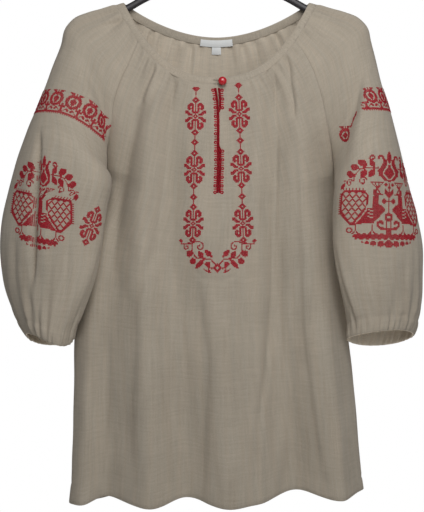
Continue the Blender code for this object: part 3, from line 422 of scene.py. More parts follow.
def fold_depth(folds, x, z):
    """Sum of the vertical folds: each a bell across its line, growing from the band to the hem."""
    total = np.zeros(np.broadcast(x, z).shape)
    heights = np.array(FOLD_HEIGHTS[::-1])
    fall = np.clip((FOLD_HEIGHTS[0] - z) / (FOLD_HEIGHTS[0] - FOLD_HEIGHTS[-1]), 0.0, 1.0)
    onset = smooth((-z - 70.0) / 90.0)
    for _, x_neck, x_chest, x_waist, x_hem, chest, hem, width in folds.data:
        line = np.interp(z, heights, (x_hem, x_waist, x_chest, x_neck))
        depth = chest + (hem - chest) * fall**1.3
        spread = width * (0.55 + 0.45 * fall)
        total += onset * depth * bell((x - line) / spread)
    return total


def panel_shape(s, t, seam, rows):
    """A smooth panel from seam to seam.

    Across a row x follows a sine, so points crowd at the sides. Height runs from the middle to the seam
    as a power of x, and depth as a superellipse that rounds the side seam over lower down.
    """
    left, right = seam(LEFT, t), seam(RIGHT, t)
    bend = np.radians(51.0 + 24.0 * smooth(t))
    across = np.sin((2 * s - 1) * bend) / np.sin(bend)
    share, size = (1 + across) / 2, np.abs(across)
    near = np.where((across < 0)[..., None], left, right)
    x = left[..., 0] + share * (right[..., 0] - left[..., 0])
    z = rows("z", t) + (near[..., 2] - rows("z", t)) * size ** rows("rise", t)
    roundness = 1.0 - 0.5 * smooth((t - 0.8) / 1.1)
    swell = np.maximum(1 - size ** rows("squareness", t), 0.0) ** roundness
    seam_y = left[..., 1] + share * (right[..., 1] - left[..., 1])
    return stack(x, seam_y + (rows("y", t) - seam_y) * swell, z), smooth((1 - size) / 0.16)


def panel(s, t, seam, rows, folds, facing, neck_angles):
    """The panel with its folds, eased onto the neck band; a fold that stands out also hangs lower."""
    s, t = np.broadcast_arrays(np.asarray(s, float), np.asarray(t, float))
    points, inside = panel_shape(s, t, seam, rows)
    fold = inside * fold_depth(folds, points[..., 0], points[..., 2])
    points += stack(0.0, facing * fold, -0.38 * fold * smooth((t - 1.6) / 0.4))
    first, last = neck_angles
    at_neck = band_line(first + (last - first) * s, NECK_JOIN)
    first_row, _ = panel_shape(s, np.zeros_like(t), seam, rows)
    return points + (1 - smooth(t / 0.45))[..., None] * (at_neck - first_row)


def front_surface(s, t):
    """The front panel, with the cloth beside the neck slit drawn sideways, so that the slit bows."""
    points = panel(s, t, front_seam, FRONT_ROWS, FRONT_FOLDS, -1, (-FRONT_SEAM_ANGLE, FRONT_SEAM_ANGLE))
    return points + stack(SLIT_BOW("shift", t) * bell((s - 0.5) / 0.08), 0.0, 0.0)


def back_surface(s, t):
    """The back too runs from the left seam to the right one, round the back of the opening."""
    angles = (CIRCLE - BACK_SEAM_ANGLE, BACK_SEAM_ANGLE)
    return panel(s, t, back_seam, BACK_ROWS, BACK_FOLDS, 1, angles)


# ---- Sleeves


def sleeve_half(side, t, share, seam, facing):
    """One half of each sleeve ring, from the outer line (share 0) to the seam (share 1).

    It is part of an ellipse: x goes by the cosine of the turn, depth by its sine, and the rest of the
    depth and the height run out to the seam with x.
    """
    half = "front" if facing < 0 else "back"
    turn = np.radians(SLEEVE_SECTIONS(half + "_turn", t))
    depth = SLEEVE_SECTIONS(half + "_depth", t) + CUFF_EXTRA_DEPTH[side] * smooth((t - 1.75) / 0.25)
    outer = stack(side * OUTER_LINE[side]("x", t), SLEEVE_SECTIONS("outer_y", t), OUTER_LINE[side]("z", t))
    run = (1 - np.cos(turn * share)) / (1 - np.cos(turn))
    left_over = seam[..., 1] - outer[..., 1] - facing * depth * np.sin(turn)
    x = outer[..., 0] + (seam[..., 0] - outer[..., 0]) * run
    y = outer[..., 1] + facing * depth * np.sin(turn * share) + left_over * run
    drop = np.maximum(run, 0) ** SLEEVE_SECTIONS("lateness", t)
    return stack(x, y, outer[..., 2] + (seam[..., 2] - outer[..., 2]) * drop)


def sleeve_rings(side, s, t):
    front_end = edge_seam(FRONT_RAGLAN, SLEEVE_SEAM, FRONT_SEAM_ANGLE, side, t)
    back_end = edge_seam(BACK_RAGLAN, SLEEVE_SEAM, BACK_SEAM_ANGLE, side, t)
    front = sleeve_half(side, t, np.clip(1 - 2 * s, 0, 1), front_end, -1)
    back = sleeve_half(side, t, np.clip(2 * s - 1, 0, 1), back_end, 1)
    return np.where((s <= 0.5)[..., None], front, back)


def sleeve_surface(side, s, t):
    """A sleeve: s is 0 at the front seam, 0.5 on the outer line and 1 at the back seam.

    Above the underarm the two seams are the raglan seams; below it both are the sleeve's own seam.
    """
    s, t = np.broadcast_arrays(np.asarray(s, float), np.asarray(t, float))
    points = sleeve_rings(side, s, t)
    angle = side * (FRONT_SEAM_ANGLE + (BACK_SEAM_ANGLE - FRONT_SEAM_ANGLE) * s)
    at_neck = band_line(angle, NECK_JOIN)
    first_row = sleeve_rings(side, s, np.zeros_like(t))
    points = points + (1 - smooth(t / 0.35))[..., None] * (at_neck - first_row)
    return points + cuff_rim(side, s, t) + sleeve_overlap(side, s, points)


def cuff_rim(side, s, t):
    """Raises or drops the cuff's rim round the ring, which starts and ends at the sleeve's seam."""
    front_rise, back_drop, lean = CUFF_RIMS[side]
    ring = CIRCLE * s
    wave = np.where(s < 0.5, front_rise * np.sin(ring) - lean * np.sin(2 * ring), back_drop * np.sin(ring))
    return stack(0.0, 0.0, wave * smooth((t - 1.65) / 0.35) ** 1.5)


# The edge of the sleeve's tube where it stands in front of the raglan part, down to the underarm.
OVERLAP = both_sides("height x step", """
    -250 154 0, -215 157 7, -185 166 11, -140 178 10, -110 190 6, -70 206 0
""", """
    -262 174 0, -240 182 0, -197 194 10, -160 206 14, -125 212 9, -80 219 0
""")


def sleeve_overlap(side, s, points):
    """The front of the tube steps forward along its overlapping edge, and the edge leans inwards."""
    table = OVERLAP[side]
    height = np.clip(points[..., 2], table.data[0, 0], table.data[-1, 0])
    step = table("step", height) * smooth((0.5 - s) / 0.08) * smooth(s / 0.06)
    outside = side * points[..., 0] - table("x", height)
    proud = smooth(outside / 14.0 + 0.5) * np.exp(-np.maximum(outside, 0) / 45.0)
    sunk = bell((outside + 12.0) / 11.0)
    lean = bell((outside - 4.0) / 10.0)
    return stack(-side * 0.3 * step * lean, step * (0.45 * sunk - 0.8 * proud), 0.0)


# ---- Lines, creases and pleats


def seen(points):
    """Where points appear on the hanger's plane to the studio camera: x and height, by similar triangles."""
    scale = EYE_DISTANCE / (EYE_DISTANCE + points[..., 1])
    x = EYE_X + (points[..., 0] - EYE_X) * scale
    return x, EYE_HEIGHT + (points[..., 2] - EYE_HEIGHT) * scale


def beside_line(x, y, line):
    """Distance from a line of straight runs, and the share of its length where its nearest point is.

    The distance is plus on the side of larger x of a line that runs downwards.
    """
    line = np.asarray(line, float)
    runs = np.linalg.norm(np.diff(line, axis=0), axis=1)
    total, passed = runs.sum(), 0.0
    nearest = np.full(np.shape(x), np.inf)
    signed, share = np.zeros(np.shape(x)), np.zeros(np.shape(x))
    for (x0, y0), (x1, y1), run in zip(line[:-1], line[1:], runs):
        along = ((x - x0) * (x1 - x0) + (y - y0) * (y1 - y0)) / run**2
        held = np.clip(along, 0.0, 1.0)
        gap = np.hypot(x - x0 - held * (x1 - x0), y - y0 - held * (y1 - y0))
        turn = (x1 - x0) * (y - y0) - (y1 - y0) * (x - x0)
        closer = gap < nearest
        nearest = np.where(closer, gap, nearest)
        signed = np.where(closer, np.copysign(gap, turn), signed)
        share = np.where(closer, (passed + held * run) / total, share)
        passed += run
    return signed, share


def crease_height(x, z, creases):
    """Sum of creases. Each is (height, half width on its left, on its right, points of its line): a bell
    across the line with its own width on each side, fading in and out over a fifth of its length."""
    total = np.zeros(np.shape(x))
    for height, left, right, line in creases:
        gap, share = beside_line(x, z, line)
        width = np.where(gap < 0, left, right)
        fade = smooth(share / 0.2) * smooth((1.0 - share) / 0.2)
        total += height * fade * bell(gap / width)
    return total


def pleat_height(along, down, pleats):
    """Sum of gathers that fall from an edge. Each is (place along the edge, height, half width, reach):
    a bell that is nil at the edge, swells within a few millimetres, and widens and dies out downwards."""
    total = np.zeros(np.broadcast(along, down).shape)
    swell = 0.25 + 0.75 * smooth(down / 7.0)
    for place, height, width, reach in pleats:
        spread = width * (1.0 + 0.9 * down / reach)
        total += height * np.exp(-(((along - place) / spread) ** 2) - (down / reach) ** 2)
    return total * swell


def gathers(seed, length, pitch, bare=0.0, height=1.0, reach=45.0):
    """Random gathers along an edge of this length, alternately proud and sunk, none in the bare middle."""
    random = np.random.default_rng(seed)
    places = np.arange(-length / 2 + pitch, length / 2 - pitch / 2, pitch)
    places = places + random.uniform(-0.35, 0.35, places.size) * pitch
    sizes = random.uniform(0.45, 1.5, places.size) * height * np.where(np.arange(places.size) % 2, 1.0, -0.8)
    widths = random.uniform(0.30, 0.52, places.size) * pitch
    reaches = reach * random.uniform(0.35, 1.6, places.size)
    strength = smooth((np.abs(places) - bare) / 14.0)
    kept = strength > 0.02
    return np.stack([places, sizes * strength, widths, reaches], axis=1)[kept]


def slack(x, z, seed, size):
    """Slow unevenness of hanging cloth: a few waves of random direction, most of them upright folds."""
    random = np.random.default_rng(seed)
    total = np.zeros(np.shape(x))
    for length in (150.0, 95.0, 64.0, 47.0, 34.0, 26.0):
        for _ in range(3):
            turn = random.normal(0.0, 0.5)
            phase = random.uniform(0, CIRCLE)
            wander = 0.6 * np.sin(z / (1.7 * length) + random.uniform(0, 6.3))
            across = x * math.cos(turn) + z * math.sin(turn)
            total += size * (length / 150.0) * np.sin(CIRCLE * across / length + phase + wander) / 3
    return total


# ---- Pieces of cloth


class Cloth:
    """A piece of cloth: a surface of (s, t) that its relief moves along the normal.

    The surface and its changes along s and t are kept on a fine grid, and read between its points by
    straight shares.
    """

    ACROSS, DOWN, END = 320, 640, 2.0

    def __init__(self, surface, relief, outward, width):
        self.surface, self.relief, self.outward, self.width = surface, relief, outward, width
        s, t = np.linspace(0, 1, self.ACROSS + 1)[None, :], np.linspace(0, self.END, self.DOWN + 1)[:, None]
        grid = surface(s, t)
        by_s = np.gradient(grid, axis=1) * self.ACROSS
        by_t = np.gradient(grid, axis=0) * self.DOWN / self.END
        self.grid = np.stack([grid, by_s, by_t], axis=2)

    def read(self, s, t):
        """Place, change along s and change along t."""
        s, t = np.clip(s, 0, 1) * self.ACROSS, np.clip(t, 0, self.END) * self.DOWN / self.END
        i, j = np.minimum(t.astype(int), self.DOWN - 1), np.minimum(s.astype(int), self.ACROSS - 1)
        u, v = (t - i)[..., None, None], (s - j)[..., None, None]
        near = self.grid[i, j] * (1 - v) + self.grid[i, j + 1] * v
        far = self.grid[i + 1, j] * (1 - v) + self.grid[i + 1, j + 1] * v
        return np.moveaxis(near * (1 - u) + far * u, -2, 0)

    def normal(self, s, t):
        return self.upright(*self.read(s, t)[1:])

    def upright(self, by_s, by_t):
        return unit(np.cross(by_t, by_s) * self.outward)

    def at(self, s, t, lift=0.0):
        """The cloth's middle surface with its relief, or a surface this far above it."""
        s, t = np.broadcast_arrays(np.asarray(s, float), np.asarray(t, float))
        base = self.surface(s, t)
        return base + (self.relief(s, t, base) + lift)[..., None] * self.normal(s, t)

    def find(self, x, z, s, t):
        """(s, t) of the place that is seen at (x, z), by Newton's steps from a first guess."""
        s, t, step = np.array(s, float), np.array(t, float), 1e-3
        for _ in range(25):
            places = (s, t), (s + step, t), (s, t + step)
            here, by_s, by_t = (np.stack(seen(self.read(*place)[0]), axis=-1) for place in places)
            by_s, by_t, miss = (by_s - here) / step, (by_t - here) / step, np.stack([x, z], axis=-1) - here
            det = by_s[..., 0] * by_t[..., 1] - by_s[..., 1] * by_t[..., 0]
            det = np.where(np.abs(det) < 1e-6, 1e-6, det)
            s = s + np.clip((miss[..., 0] * by_t[..., 1] - miss[..., 1] * by_t[..., 0]) / det, -0.08, 0.08)
            t = t + np.clip((by_s[..., 0] * miss[..., 1] - by_s[..., 1] * miss[..., 0]) / det, -0.12, 0.12)
            s, t = np.clip(s, 0.0, 1.0 - step), np.clip(t, 0.0, self.END - step)
        return s, t


def soft_relief(surface, arc, pleats, creases, strength, waves, s, t, points):
    """Gathers from the neck band, creases and slow unevenness, brought down to nothing at the seams.

    The unevenness has a place across, a seed, a size, and the distance from the neck where it is full.
    """
    x, z = seen(points)
    first, last = (np.linalg.norm(points - surface(np.full_like(s, end), t), axis=-1) for end in (0, 1))
    down = np.linalg.norm(points - surface(s, np.zeros_like(s)), axis=-1)
    across, seed, size, full = waves
    height = pleat_height((s - 0.5) * arc, down, pleats)
    height += strength * crease_height(x, z, creases) * smooth((down - 1.0) / 8.0)
    height += slack(x if across is None else across, z, seed, size) * smooth(down / full)
    return (height + SEAM_BULGE) * (1 - bell(np.minimum(first, last) / 3.0))


def panel_relief(surface, arc, pleats, creases, strength, waves, s, t, points):
    """The front's or the back's relief. Its hem is double, and sinks in a little along the stitches."""
    past = (t - HEM_LINE) / 0.004
    height = soft_relief(surface, arc, pleats, creases, strength, waves, s, t, points)
    return height + (0.35 * smooth(past) - 0.6 * bell(past))


def sleeve_relief(side, s, t, points):
    """The sleeve's relief: creases in its front half only, and puckers at the elastic of the cuff."""
    front_half, waves = smooth((0.56 - s) / 0.12), (240 * s, 13 + side, 0.8, 50.0)
    surface, pleats, creases = partial(sleeve_surface, side), SLEEVE_GATHERS[side], SLEEVE_CREASES[side]
    height = soft_relief(surface, NECK_ARC["sleeve"], pleats, creases, front_half, waves, s, t, points)
    up = (2.0 - t) / (2.0 - CUFF_LINE)  # 0 at the rim, 1 at the casing's stitch line
    height += cuff_puckers(side, s, up) + 0.5 * smooth((1.0 - up) / 0.15)
    return height - 0.6 * bell((up - 1.0) / 0.16)


# Waves round the cuff: how many, how high, and where they set in and fade (0 is the rim, 1 the stitch line).
CUFF_WAVES = ((43, 1.05, 0.0, 1.5), (29, 1.05, 0.2, 2.8), (19, 1.2, 0.7, 4.6), (11, 1.4, 1.6, 7.0))


def cuff_puckers(side, s, up):
    """Waves round the cuff: tight in the casing and slower and softer up the sleeve, where they fade."""
    random = np.random.default_rng(21 + side)
    total = np.zeros(np.broadcast(s, up).shape)
    for count, height, low, high in CUFF_WAVES:
        phase = random.uniform(0, CIRCLE) + up * np.sin(CIRCLE * (3 * s + random.uniform()))
        wobble = 0
        for k in (2, 3, 5):
            wobble = wobble + random.uniform(0.2, 0.9) * np.sin(CIRCLE * (k * s + random.uniform()))
        swell = smooth(up / 0.25 + 0.5) if low == 0.0 else smooth((up - low + 0.6) / 0.6)
        fade = np.exp(-((np.maximum(up - low, 0.0) / (high - low)) ** 2) * 2.2)
        size = 0.75 + 0.25 * np.sin(CIRCLE * (4 * s + random.uniform()))
        total += height * size * swell * fade * np.sin(CIRCLE * count * s + phase + wobble)
    return total


# ---- Embroidery charts


class Chart:
    """Square cells painted by shapes drawn in cell units, with x to the right of the middle and y upwards.

    Only the right half is drawn, and the left one mirrors it: x is the distance from the middle.
    """

    def __init__(self, half, low, high):
        self.half, self.low, self.high = half, low, high
        x, self.y = np.meshgrid(np.arange(-half, half + 1.0), np.arange(low, high + 1.0))
        self.x = np.abs(x)
        self.cells = np.zeros(x.shape, bool)

    def paint(self, *shapes):
        for shape in shapes:
            self.cells |= shape(self.x, self.y)
        return self

    def leave(self, *shapes):
        for shape in shapes:
            self.cells &= ~shape(self.x, self.y)
        return self


def disc(x0, y0, rx, ry=None):
    return lambda x, y: ((x - x0) / rx) ** 2 + ((y - y0) / (ry or rx)) ** 2 <= 1.0


def ring(x0, y0, r, hole):
    return lambda x, y: disc(x0, y0, r)(x, y) & ~disc(x0, y0, hole)(x, y)


def diamond(x0, y0, rx, ry=None):
    return lambda x, y: np.abs(x - x0) / rx + np.abs(y - y0) / (ry or rx) <= 1.0


def stroke(width, *points):
    return lambda x, y: np.abs(beside_line(x, y, points)[0]) <= width / 2


def leaf(width, *points):
    """A stroke that is full in its middle and comes to a point at both ends."""

    def shape(x, y):
        gap, share = beside_line(x, y, points)
        return np.abs(gap) <= 0.35 + (width / 2 - 0.35) * np.sin(math.pi * share) ** 0.8

    return shape


def curl(x0, y0, r, start, turns, width=1.2):
    """A spiral that winds in from its start angle in degrees; minus turns wind clockwise."""
    u = np.linspace(0, 1, 20)
    angle = math.radians(start) + CIRCLE * turns * u
    radius = r * (1 - 0.72 * u)
    return stroke(width, *zip(x0 + radius * np.cos(angle), y0 + radius * np.sin(angle)))


def area(*corners):
    """Inside of a closed outline, by counting the sides that a line to the left crosses."""

    def shape(x, y):
        inside = np.zeros(np.shape(x), bool)
        for (x0, y0), (x1, y1) in zip(corners, corners[1:] + corners[:1]):
            if y0 != y1:
                crosses = (y0 > y) != (y1 > y)
                inside ^= crosses & (x < x0 + (y - y0) * (x1 - x0) / (y1 - y0))
        return inside

    return shape


def from_rows(rows):
    """Cells of a quarter motif given as text, top row first, mirrored both ways round the middle."""
    quarter = np.array([[mark == "#" for mark in row] for row in rows.split()][::-1])

    def shape(x, y):
        i, j = np.abs(y).astype(int), np.abs(x).astype(int)
        known = (i < quarter.shape[0]) & (j < quarter.shape[1])
        return known & quarter[np.minimum(i, quarter.shape[0] - 1), np.minimum(j, quarter.shape[1] - 1)]

    return shape


def moved(shape, x0, y0):
    return lambda x, y: shape(x - x0, y - y0)


ROSETTE = from_rows("""
    #........... ##.......... ###......... .###........ ###......... ##.......... #..###...... #.#####.....
    #.######.... #.##.###.... #.##.###.... #.######.... #.##.##..... #.##...###.. ####..####.. ###..#####..
    #..#####.... ##.####..... .##.........
""")


def spacer(x, y):
    """Small diamond with a light centre and a tip at its top and bottom."""
    reach = np.abs(x) + np.abs(y)
    return ((reach > 0) & (reach <= 3)) | ((x == 0) & (np.abs(y) == 4))


SHAPES = {shape.__name__: shape for shape in (disc, ring, diamond, stroke, leaf, curl, area)}


def draw(chart, text):
    """Paints a shape for each line of text, or clears its cells where a minus stands first: a name, its
    sizes, and the points of its line after a colon. A line that starts with # is a note."""
    for row in text.strip().splitlines():
        sizes, _, line = row.partition(":")
        name, *sizes = sizes.split()
        if name != "#":
            shape = SHAPES[name.lstrip("-")](*map(float, sizes), *(numbers(line).tolist() if line else []))
            (chart.leave if name[0] == "-" else chart.paint)(shape)


def chest_chain(top):
    """Three rosettes, two spacers between them and a third above, joined by a line of single stitches."""
    chart = Chart(12, -18, top)
    for i in range(3):
        chart.paint(moved(ROSETTE, 0, 49 * i))
    for y in (24, 74, 124):
        chart.leave(lambda x, yy, y=y: (np.abs(yy - y) <= 6)).paint(moved(spacer, 0, y))
        chart.paint(stroke(0.8, (0, y - 6), (0, y - 4)), stroke(0.8, (0, y + 4), (0, min(y + 6, 124))))
    return chart


def chest_garland():
    """Two sprays that curl up and outwards from a diamond in the middle."""
    chart = Chart(37, -7, 28)
    draw(chart, """
    diamond 0 0 4.6
    -diamond 0 0 1.2
    stroke 1.3: 2 3, 5.8 7.8, 13 8.6, 19 9.2, 23.4 15, 23.1 22.7
    stroke 1.3: 23.1 22.2, 26.6 22.7, 30.7 21.6, 34.2 22.3
    disc 34.4 24.6 1.7
    stroke 1.2: 30.7 21.6, 31.4 18.9, 29.3 17.1, 26.9 18.2, 26.9 20.2, 28.6 20.4
    stroke 1.3: 23.1 22.7, 19.6 24.3, 16.2 24.1, 13.4 21.6, 12.7 18.9
    stroke 1.3: 12.7 18.9, 14.8 16.8, 17.5 17.5, 18.2 19.6, 16.2 20.6
    disc 25.9 13 3.1
    disc 22.4 6.2 3.1
    leaf 4.6: 12.4 8.2, 17.5 15.4
    leaf 4.6: 5.2 10.2, 11.3 16.4
    leaf 4.8: 12.2 7.4, 19.8 -0.3
    disc 8.6 3.4 2.5
    stroke 1.2: 5 -0.5, 7 1, 8 -1.5, 6.5 -3.5
    stroke 1.2: 6.5 -3.8, 9.5 -3, 12 -1
    """)
    return chart


def band_flower(chart, y0):
    """A round flower with an inner heart and a crown of leaves, its middle at this row."""
    chart.paint(ring(0, y0, 6.6, 4.0), diamond(0, y0 - 0.2, 3.2, 4.0), stroke(1.1, (0, y0), (0, y0 + 8)))
    chart.paint(leaf(2.4, (0.6, y0 + 5.6), (4.8, y0 + 8.0)), stroke(1.0, (1.0, y0 + 5.8), (2.2, y0 + 8.2)))
    return chart


def arm_band_repeat():
    """One repeat, 15 cells wide: a line with teeth below, a big flower and half a floret at each side."""
    chart = Chart(7, -2, 21)
    x, y = chart.x, chart.y
    chart.cells |= (y == 0) | (y == 1) | ((y < 0) & (x % 2 == 0) & (y > -2))
    draw(chart, """
    stroke 1.1: 0 6.6, 3 4.6, 6.6 1.5
    leaf 2.2: 3 4, 0.6 2.6
    stroke 1.1: 7 2, 7 9.4
    leaf 2.2: 6.6 5.4, 4.4 8.2
    """)
    return band_flower(chart, 12.8)


def folded_flower():
    """The flower that shows inside a fold of the sleeve, and a bit of the band's line on the fold's edge."""
    chart = band_flower(Chart(14, 0, 32), 11.0)
    draw(chart, """
    stroke 2.6: 11.6 30, 8.4 24
    stroke 2.2: 8 21.5, 6.6 18.5
    """)
    chart.cells[17:, : chart.half - 5] = False
    chart.cells[20:, : chart.half + 4] = False
    return chart


def lattice(x, y):
    """Light diamonds, five cells wide, on staggered rows four cells apart."""
    row = np.floor((y + 2) / 4.0)
    u, v = np.abs((x + 3 * (row % 2)) % 6 - 3), np.abs((y + 2) % 4 - 2)
    return np.where(v == 2, (u < 1) | (u > 2), u < 3 - v)


INSIDE_TAIL = area(*numbers("""
    22.4 32.8, 20.3 40, 20.5 46.6, 22.8 49.6, 40.6 49.6, 42.9 46.4, 42.6 31.4, 33.4 22.4, 30.6 22.2
""").tolist())


def medallion():
    """Tree of life with a bird on each side of it, on a line of ground, under a branch with berries."""
    chart = Chart(46, 0, 88)
    draw(chart, """
    disc 0 2.6 3.7
    disc 6.8 2.9 3
    disc 13 3.3 2.5
    disc 18.4 3.8 1.8
    disc 22.8 4.2 1.1
    area: -1 8.4, 32 8.4, 30.6 11.6, -1 11.6
    """)
    x, y = chart.x, chart.y
    chart.cells |= (y > 6) & (y < 9) & (np.abs(x % 5.2 - 2.6) < y - 5.4) & (x < 30)
    chart.cells |= (y == 12) & (x % 5 < 3) & (x < 27)
    draw(chart, """
    ring 34.6 15 2.9 1.7
    # legs
    stroke 1: 29 15, 29 20
    stroke 1.1: 26.4 11.8, 29 15, 31.6 11.8
    stroke 1: 14 15, 14 20
    stroke 1.1: 11.4 11.8, 14 15, 16.6 11.8
    # bird: body and breast, neck and head
    area: 3.1 34, 13.5 21.2, 34.4 20.8, 22 36, 15 36, 14.8 47, 10 46.5, 9.4 40, 3.8 35.5
    disc 11.6 49.6 3.3 3.6
    area: 5 47.6, 10 48, 10 51
    -disc 10.6 50.4 0.8
    # tail: a rim round a lattice, with ticks over it and on its outer side
    area: 20.6 32.4, 18.7 40, 18.9 47.4, 22 51.2, 41.4 51.2, 44.6 47.4, 44.2 29.4, 34.4 20, 29.5 20
    """)
    chart.cells &= ~(INSIDE_TAIL(x, y) & lattice(x, y))
    draw(chart, """
    -stroke 1.1: 19.4 37.4, 20.6 32.6, 22.8 29.4, 29.2 21.8
    """)
    chart.cells |= (y > 51.5) & (y < 54) & (x % 3 == 0) & (x > 21) & (x < 43)
    chart.cells |= (x > 44.5) & (y % 2 == 0) & (y > 29) & (y < 49)
    draw(chart, """
    # feathers of the wing
    -stroke 0.9: 13.3 26.5, 19 28.5
    -stroke 0.9: 13.3 29.5, 19 31.5
    -stroke 0.9: 13.3 32.5, 19 34.5
    # crest
    stroke 0.9: 11.3 53, 6 59
    stroke 0.9: 11.3 53, 9.4 59
    stroke 0.9: 11.3 53, 13.2 59
    stroke 0.9: 11.3 53, 16.6 59
    stroke 0.9: 6 59.2, 16.6 59.2
    # trunk
    disc 0 14.4 2.8
    stroke 1.5: 1.9 16.5, 1.9 25.5
    ring 0 27.4 4 1.3
    stroke 1.3: 0 31.4, 0 58
    stroke 2.4: 3 16.6, 6.8 17, 9.6 19.4, 9.2 22.4, 6.6 23.2, 5.2 21.4
    disc 4.6 42 2.3
    leaf 3.4: 0.8 46, 4.4 53
    stroke 1: 0 42, 4 42
    diamond 3.4 57 2
    diamond 0 54.5 1.8
    # pomegranate with its crown
    area: 0 59.6, 5.4 61, 10.6 65.4, 11.2 70, 8.2 74, 6.2 77.5, 6.6 81, 0 80
    -area: -1 61, 2.6 62, 6.6 66.4, 6.4 69.4, 3.4 73, 2.4 76, 3 82, -1 82
    area: -1 62.4, 1.6 63, 5.2 66.8, 5 69, 1.4 73.4, 1 76, -1 76
    leaf 5: 0 76.5, 0 88.4
    stroke 2: 5.2 79.4, 6.8 83, 9.6 83.6, 10.8 81.2
    # branch
    stroke 1.2: 10.6 72.5, 13.8 71.5, 20 72, 26 71.2, 30.9 65.9, 32.3 60.4
    leaf 6.4: 20.6 73.6, 28.4 79
    leaf 6.4: 27.4 71.4, 35.6 74.2
    leaf 6.2: 31.6 64, 39.6 68.2
    leaf 5.6: 21.4 70, 26 63
    leaf 5.6: 14 70.6, 19.2 63.6
    leaf 4.8: 14.4 72.6, 17.6 80
    curl 15.6 81.4 2.8 -20 0.8 1.6
    curl 24.2 59.6 3.7 150 -1.15
    curl 36.2 58 3.3 150 -1.1
    leaf 3.6: 41 57.8, 45 52.2
    stroke 1: 39 59.4, 42 60.4
    """)
    return chart


# ---- Laying charts on the cloth


def march(cloth, s, t, heading, count, length):
    """Walks over the surface in steps of the given length; heading turns the tangents at the walkers'
    places into a unit direction. Gives s and t with one more row than there are steps."""
    track = [(s, t)]
    for _ in range(count):
        _, along_s, along_t = cloth.read(s, t)
        move = unit(heading(along_s, along_t, cloth.upright(along_s, along_t))) * length
        ss, tt, st = (along_s**2).sum(-1), (along_t**2).sum(-1), (along_s * along_t).sum(-1)
        ms, mt = (move * along_s).sum(-1), (move * along_t).sum(-1)
        det = np.maximum(ss * tt - st**2, 1e-9)
        s = np.clip(s + (ms * tt - mt * st) / det, 0.0, 1.0)
        t = np.clip(t + (mt * ss - ms * st) / det, 0.0, cloth.END)
        track.append((s, t))
    return np.array(track).transpose(1, 0, 2)


def against(heading):
    return lambda *directions: -heading(*directions)


def both_ways(cloth, s, t, forward, back_count, forward_count, length):
    """Marches back and forward from the same places and joins the two into one track."""
    ahead = march(cloth, s, t, forward, forward_count, length)
    behind = march(cloth, s, t, against(forward), back_count, length)
    return np.concatenate([behind[:, :0:-1], ahead], axis=1)


def lay_chart(cloth, chart, foot, head, rows_between, guess, spare=0):
    """(s, t) of every corner of the chart's cells, and of spare columns on both sides.

    The middle column starts at the foot (row 0) and runs up the cloth in the upright plane towards the
    head, which is rows_between rows further. Each row then leaves it in the plane square to that line.
    """
    places = cloth.find(np.array([foot[0], head[0]]), np.array([foot[1], head[1]]), *np.transpose(guess))
    ends = cloth.surface(*places)
    axis = (ends[1] - ends[0]) * np.array([1.0, 0.0, 1.0])
    cell = np.linalg.norm(ends[1] - ends[0]) / rows_between
    axis /= np.linalg.norm(axis)
    plane = np.cross(axis, (0.0, 1.0, 0.0))

    def upwards(along_s, along_t, normal):
        way = np.cross(normal, plane)
        return way * np.sign((way * axis).sum(-1, keepdims=True))

    def rightwards(along_s, along_t, normal):
        return np.cross(axis, normal)

    s0, t0 = (place[:1] for place in places)
    half_down = march(cloth, s0, t0, against(upwards), 1, cell / 2)[:, -1]
    middle = both_ways(cloth, *half_down, upwards, -chart.low, chart.high + 1, cell)[..., 0]
    start = march(cloth, *middle, against(rightwards), 1, cell / 2)[:, -1]
    reach = chart.half + spare
    corners = both_ways(cloth, *start, rightwards, reach, reach + 1, cell)
    return corners.transpose(0, 2, 1)


def spread_columns(corners, chart, spare, plan):
    """Moves the columns of a chart: they are eased apart, or go into a pressed fold and leave it squeezed.

    The plan gives some columns, some rows, for each of these rows the places that those columns move to,
    and how far the rows slope down to the right. Between them the places change evenly.
    """
    columns, rows, places, slope = plan
    old = np.arange(corners.shape[2]) - (chart.half + spare) - 0.5
    x = np.arange(2 * chart.half + 2) - chart.half - 0.5
    row = chart.low - 0.5 + np.arange(corners.shape[1])
    by_row = np.array([np.interp(row, rows, place) for place in np.transpose(places)]).T
    moved_x = np.array([np.interp(x, columns, place) for place in by_row])
    s, t = (np.stack([np.interp(place, old, line) for place, line in zip(moved_x, part)]) for part in corners)
    return np.stack([s, np.clip(t + slope * moved_x, 0.0, 2.0)])


def cross_stitches(cloth, cells, corners, random):
    """Two threads from corner to corner of each marked cell, where the chart lies flat on the cloth."""
    s, t = corners
    points, normals = cloth.at(s, t), cloth.normal(s, t)
    across = np.linalg.norm(points[:, 1:] - points[:, :-1], axis=-1)[:-1]
    near = t[:-1, :-1]
    free = (t[1:, 1:] > 0.004) & (near > 0.004) & (near < cloth.END - 0.01) & (across > 0.35 * CELL)
    row, column = np.nonzero(cells & free)
    low_left, low_right = points[row, column], points[row, column + 1]
    high_left, high_right = points[row + 1, column], points[row + 1, column + 1]
    normal = unit(normals[row, column] + normals[row + 1, column + 1])
    face = CLOTH_THICKNESS / 2
    tall = face + STITCH_HEIGHT
    under = thread(low_right, high_left, normal, random, STITCH_HALF_WIDTH, tall, face)
    over = thread(low_left, high_right, normal, random, STITCH_HALF_WIDTH, tall + 0.14, face)
    return [under, over]


